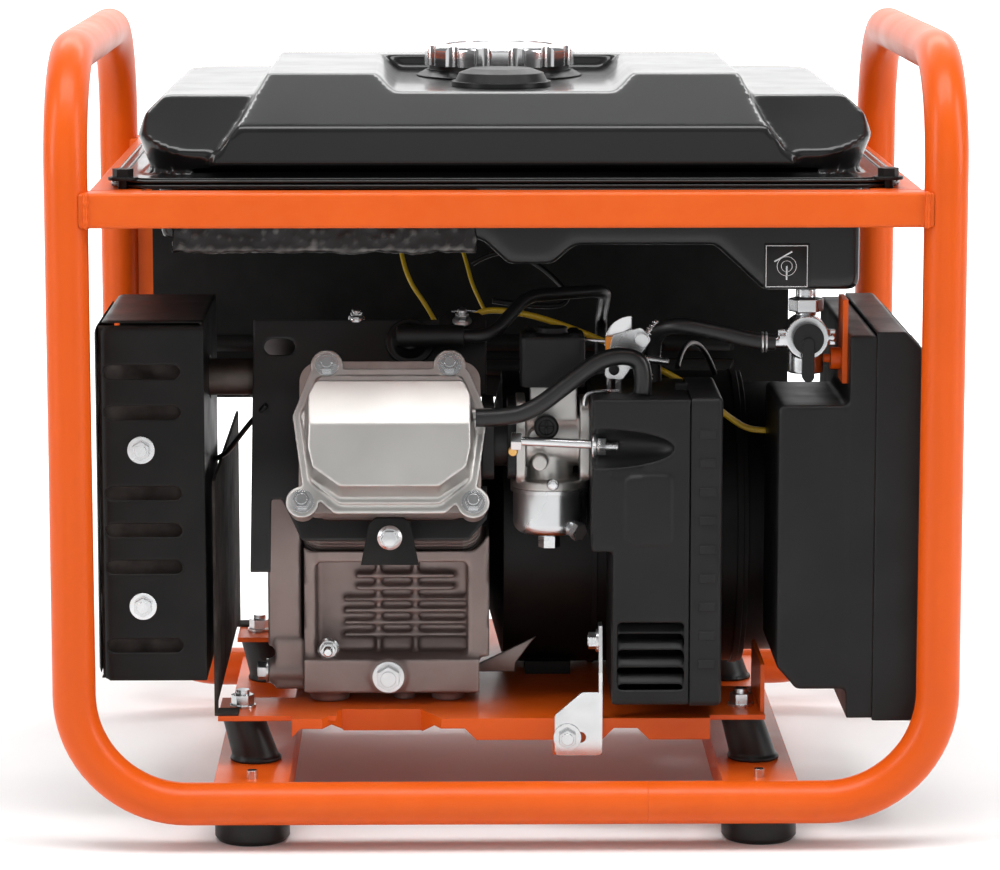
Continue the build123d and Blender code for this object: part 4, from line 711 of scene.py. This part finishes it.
def weld(name, corners):
    """A row of overlapping beads along straight runs between corners in millimetres."""
    bm = bmesh.new()
    for a, b in zip(corners, corners[1:]):
        a, b = Vector(a), Vector(b)
        count = max(2, int((b - a).length / BEAD_STEP))
        for k in range(count):
            spot = a.lerp(b, k / count)
            size = BEAD_RADIUS * random.uniform(0.85, 1.15)
            shape = Matrix.Translation(spot * MM) @ Matrix.Diagonal((*[size * MM] * 3, 1))
            bmesh.ops.create_icosphere(bm, subdivisions=2, radius=1.0, matrix=shape)
    obj = mesh_object(name, bm)
    remesh = obj.modifiers.new("remesh", "REMESH")
    remesh.mode = "VOXEL"
    remesh.voxel_size = 0.0007
    remesh.use_smooth_shade = True
    bpy.context.view_layer.update()
    bare(obj)
    finished(obj, "orange_paint")


for side, side_name in ((-1, "left"), (1, "right")):
    for face, face_name in ((-1, "front"), (1, "rear")):
        x, y = side * WELD_X, face * WELD_Y
        weld(f"weld_{side_name}_{face_name}",
             [(x, y, WELD_TOP), (x, y, WELD_FOOT), (x, face * WELD_BACK_Y, WELD_BACK)])

# the heat barrier's foil, crinkled
quilt = linked("heat_barrier_foil", frame["nodes"]["heat_barrier"].data.copy())
remesh = quilt.modifiers.new("remesh", "REMESH")
remesh.mode = "VOXEL"
remesh.voxel_size = 0.0016
for index, (size, strength) in enumerate(((0.018, 0.0022), (0.006, 0.0012))):
    crease = bpy.data.textures.new(f"crease_{index}", "VORONOI")
    crease.noise_scale = size
    crumple = quilt.modifiers.new(f"crumple_{index}", "DISPLACE")
    crumple.texture = crease
    crumple.texture_coords = "LOCAL"
    crumple.strength = -strength
    crumple.mid_level = 0.0
bpy.context.view_layer.update()
bare(quilt)
for face in quilt.data.polygons:
    face.use_smooth = True
quilt.data.set_sharp_from_angle(angle=math.radians(28))
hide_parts("heat_barrier")
finished(quilt, "foil")


# ---------------------------------------------------------------- camera, floor and light
FOCAL = 144.0
CAMERA_AT = Vector((-0.0348, -2.4517, 0.6015))
YAW, PITCH = 0.0137, 0.1566

lens = bpy.data.cameras.new("camera")
lens.lens = FOCAL
lens.sensor_width = 36.0
camera = linked("camera", lens)
aim = Vector((math.sin(YAW) * math.cos(PITCH), math.cos(YAW) * math.cos(PITCH), -math.sin(PITCH)))
camera.location = CAMERA_AT
camera.rotation_euler = aim.to_track_quat("-Z", "Y").to_euler()
bpy.context.scene.camera = camera


FLOOR_HALF, FLOOR_FRONT, FLOOR_BACK = 6.0, -6.0, 3.0
SWEEP_RADIUS, SWEEP_STEPS, WALL_TOP = 1.2, 12, 5.0
GLOW_START, GLOW_FULL = 0.25, 1.6  # the backdrop's own light, along Y


def studio_floor():
    """A pale floor that turns up into a backdrop behind the object, and glows only there."""
    mesh = bpy.data.meshes.new("studio")
    bm = bmesh.new()
    profile = [(FLOOR_FRONT, 0.0), (0.0, 0.0)]
    for step in range(SWEEP_STEPS + 1):
        turn = math.pi / 2 * step / SWEEP_STEPS
        profile.append((FLOOR_BACK + SWEEP_RADIUS * math.sin(turn),
                        SWEEP_RADIUS - SWEEP_RADIUS * math.cos(turn)))
    profile.append((FLOOR_BACK + SWEEP_RADIUS, WALL_TOP))
    rows = [[bm.verts.new((x, y, z)) for y, z in profile] for x in (-FLOOR_HALF, FLOOR_HALF)]
    for a in range(len(profile) - 1):
        bm.faces.new((rows[0][a], rows[1][a], rows[1][a + 1], rows[0][a + 1]))
    for face in bm.faces:
        face.smooth = True
    bm.to_mesh(mesh)
    bm.free()
    floor = linked("studio", mesh)
    paint = surface("studio", (0.86, 0.86, 0.86), 0.85, vary=0.005, strength=0.0, specular=0.05,
                    ease=0.0)
    nodes, links = paint.node_tree.nodes, paint.node_tree.links
    place = nodes.new("ShaderNodeSeparateXYZ")
    links.new(nodes["Texture Coordinate"].outputs["Object"], place.inputs["Vector"])
    ramp = nodes.new("ShaderNodeMapRange")
    ramp.interpolation_type = "SMOOTHSTEP"
    for socket, value in (("From Min", GLOW_START), ("From Max", GLOW_FULL), ("To Min", 0.0),
                          ("To Max", 1.0)):
        ramp.inputs[socket].default_value = value
    links.new(place.outputs["Y"], ramp.inputs["Value"])
    shader = nodes["Principled BSDF"]
    shader.inputs["Emission Color"].default_value = (1.0, 1.0, 1.0, 1.0)
    links.new(ramp.outputs["Result"], shader.inputs["Emission Strength"])
    mesh.materials.append(paint)


def softbox(name, location, target, size, power):
    """A white rectangular lamp aimed at a point, in metres and watts."""
    light = bpy.data.lights.new(name, "AREA")
    light.shape = "RECTANGLE"
    light.size, light.size_y = size
    light.energy = power
    lamp = linked(name, light)
    lamp.location = location
    lamp.rotation_euler = (Vector(target) - Vector(location)).to_track_quat("-Z", "Y").to_euler()


WORLD_STRENGTH = 0.24
SOFTBOXES = (
    ("top", (0.0, -0.75, 2.3), (0, -0.1, 0.3), (2.2, 0.9), 46),
    ("back", (0.0, 1.5, 2.0), (0, 0.2, 0.0), (2.4, 0.5), 24),
    ("front", (-0.1, -3.3, 1.0), (0, 0, 0.25), (2.8, 1.7), 10),
    ("left", (-2.0, -0.9, 1.1), (0, 0, 0.25), (0.6, 1.8), 22),
    ("right", (2.0, -0.8, 1.1), (0, 0, 0.25), (0.6, 1.8), 24),
)

studio_floor()
world = bpy.data.worlds.new("world")
world.use_nodes = True
sky = world.node_tree.nodes["Background"]
sky.inputs["Color"].default_value = (1.0, 1.0, 1.0, 1.0)
sky.inputs["Strength"].default_value = WORLD_STRENGTH
bpy.context.scene.world = world
bpy.context.scene.view_settings.view_transform = "Standard"
for lamp in SOFTBOXES:
    softbox(*lamp)

bpy.context.view_layer.update()
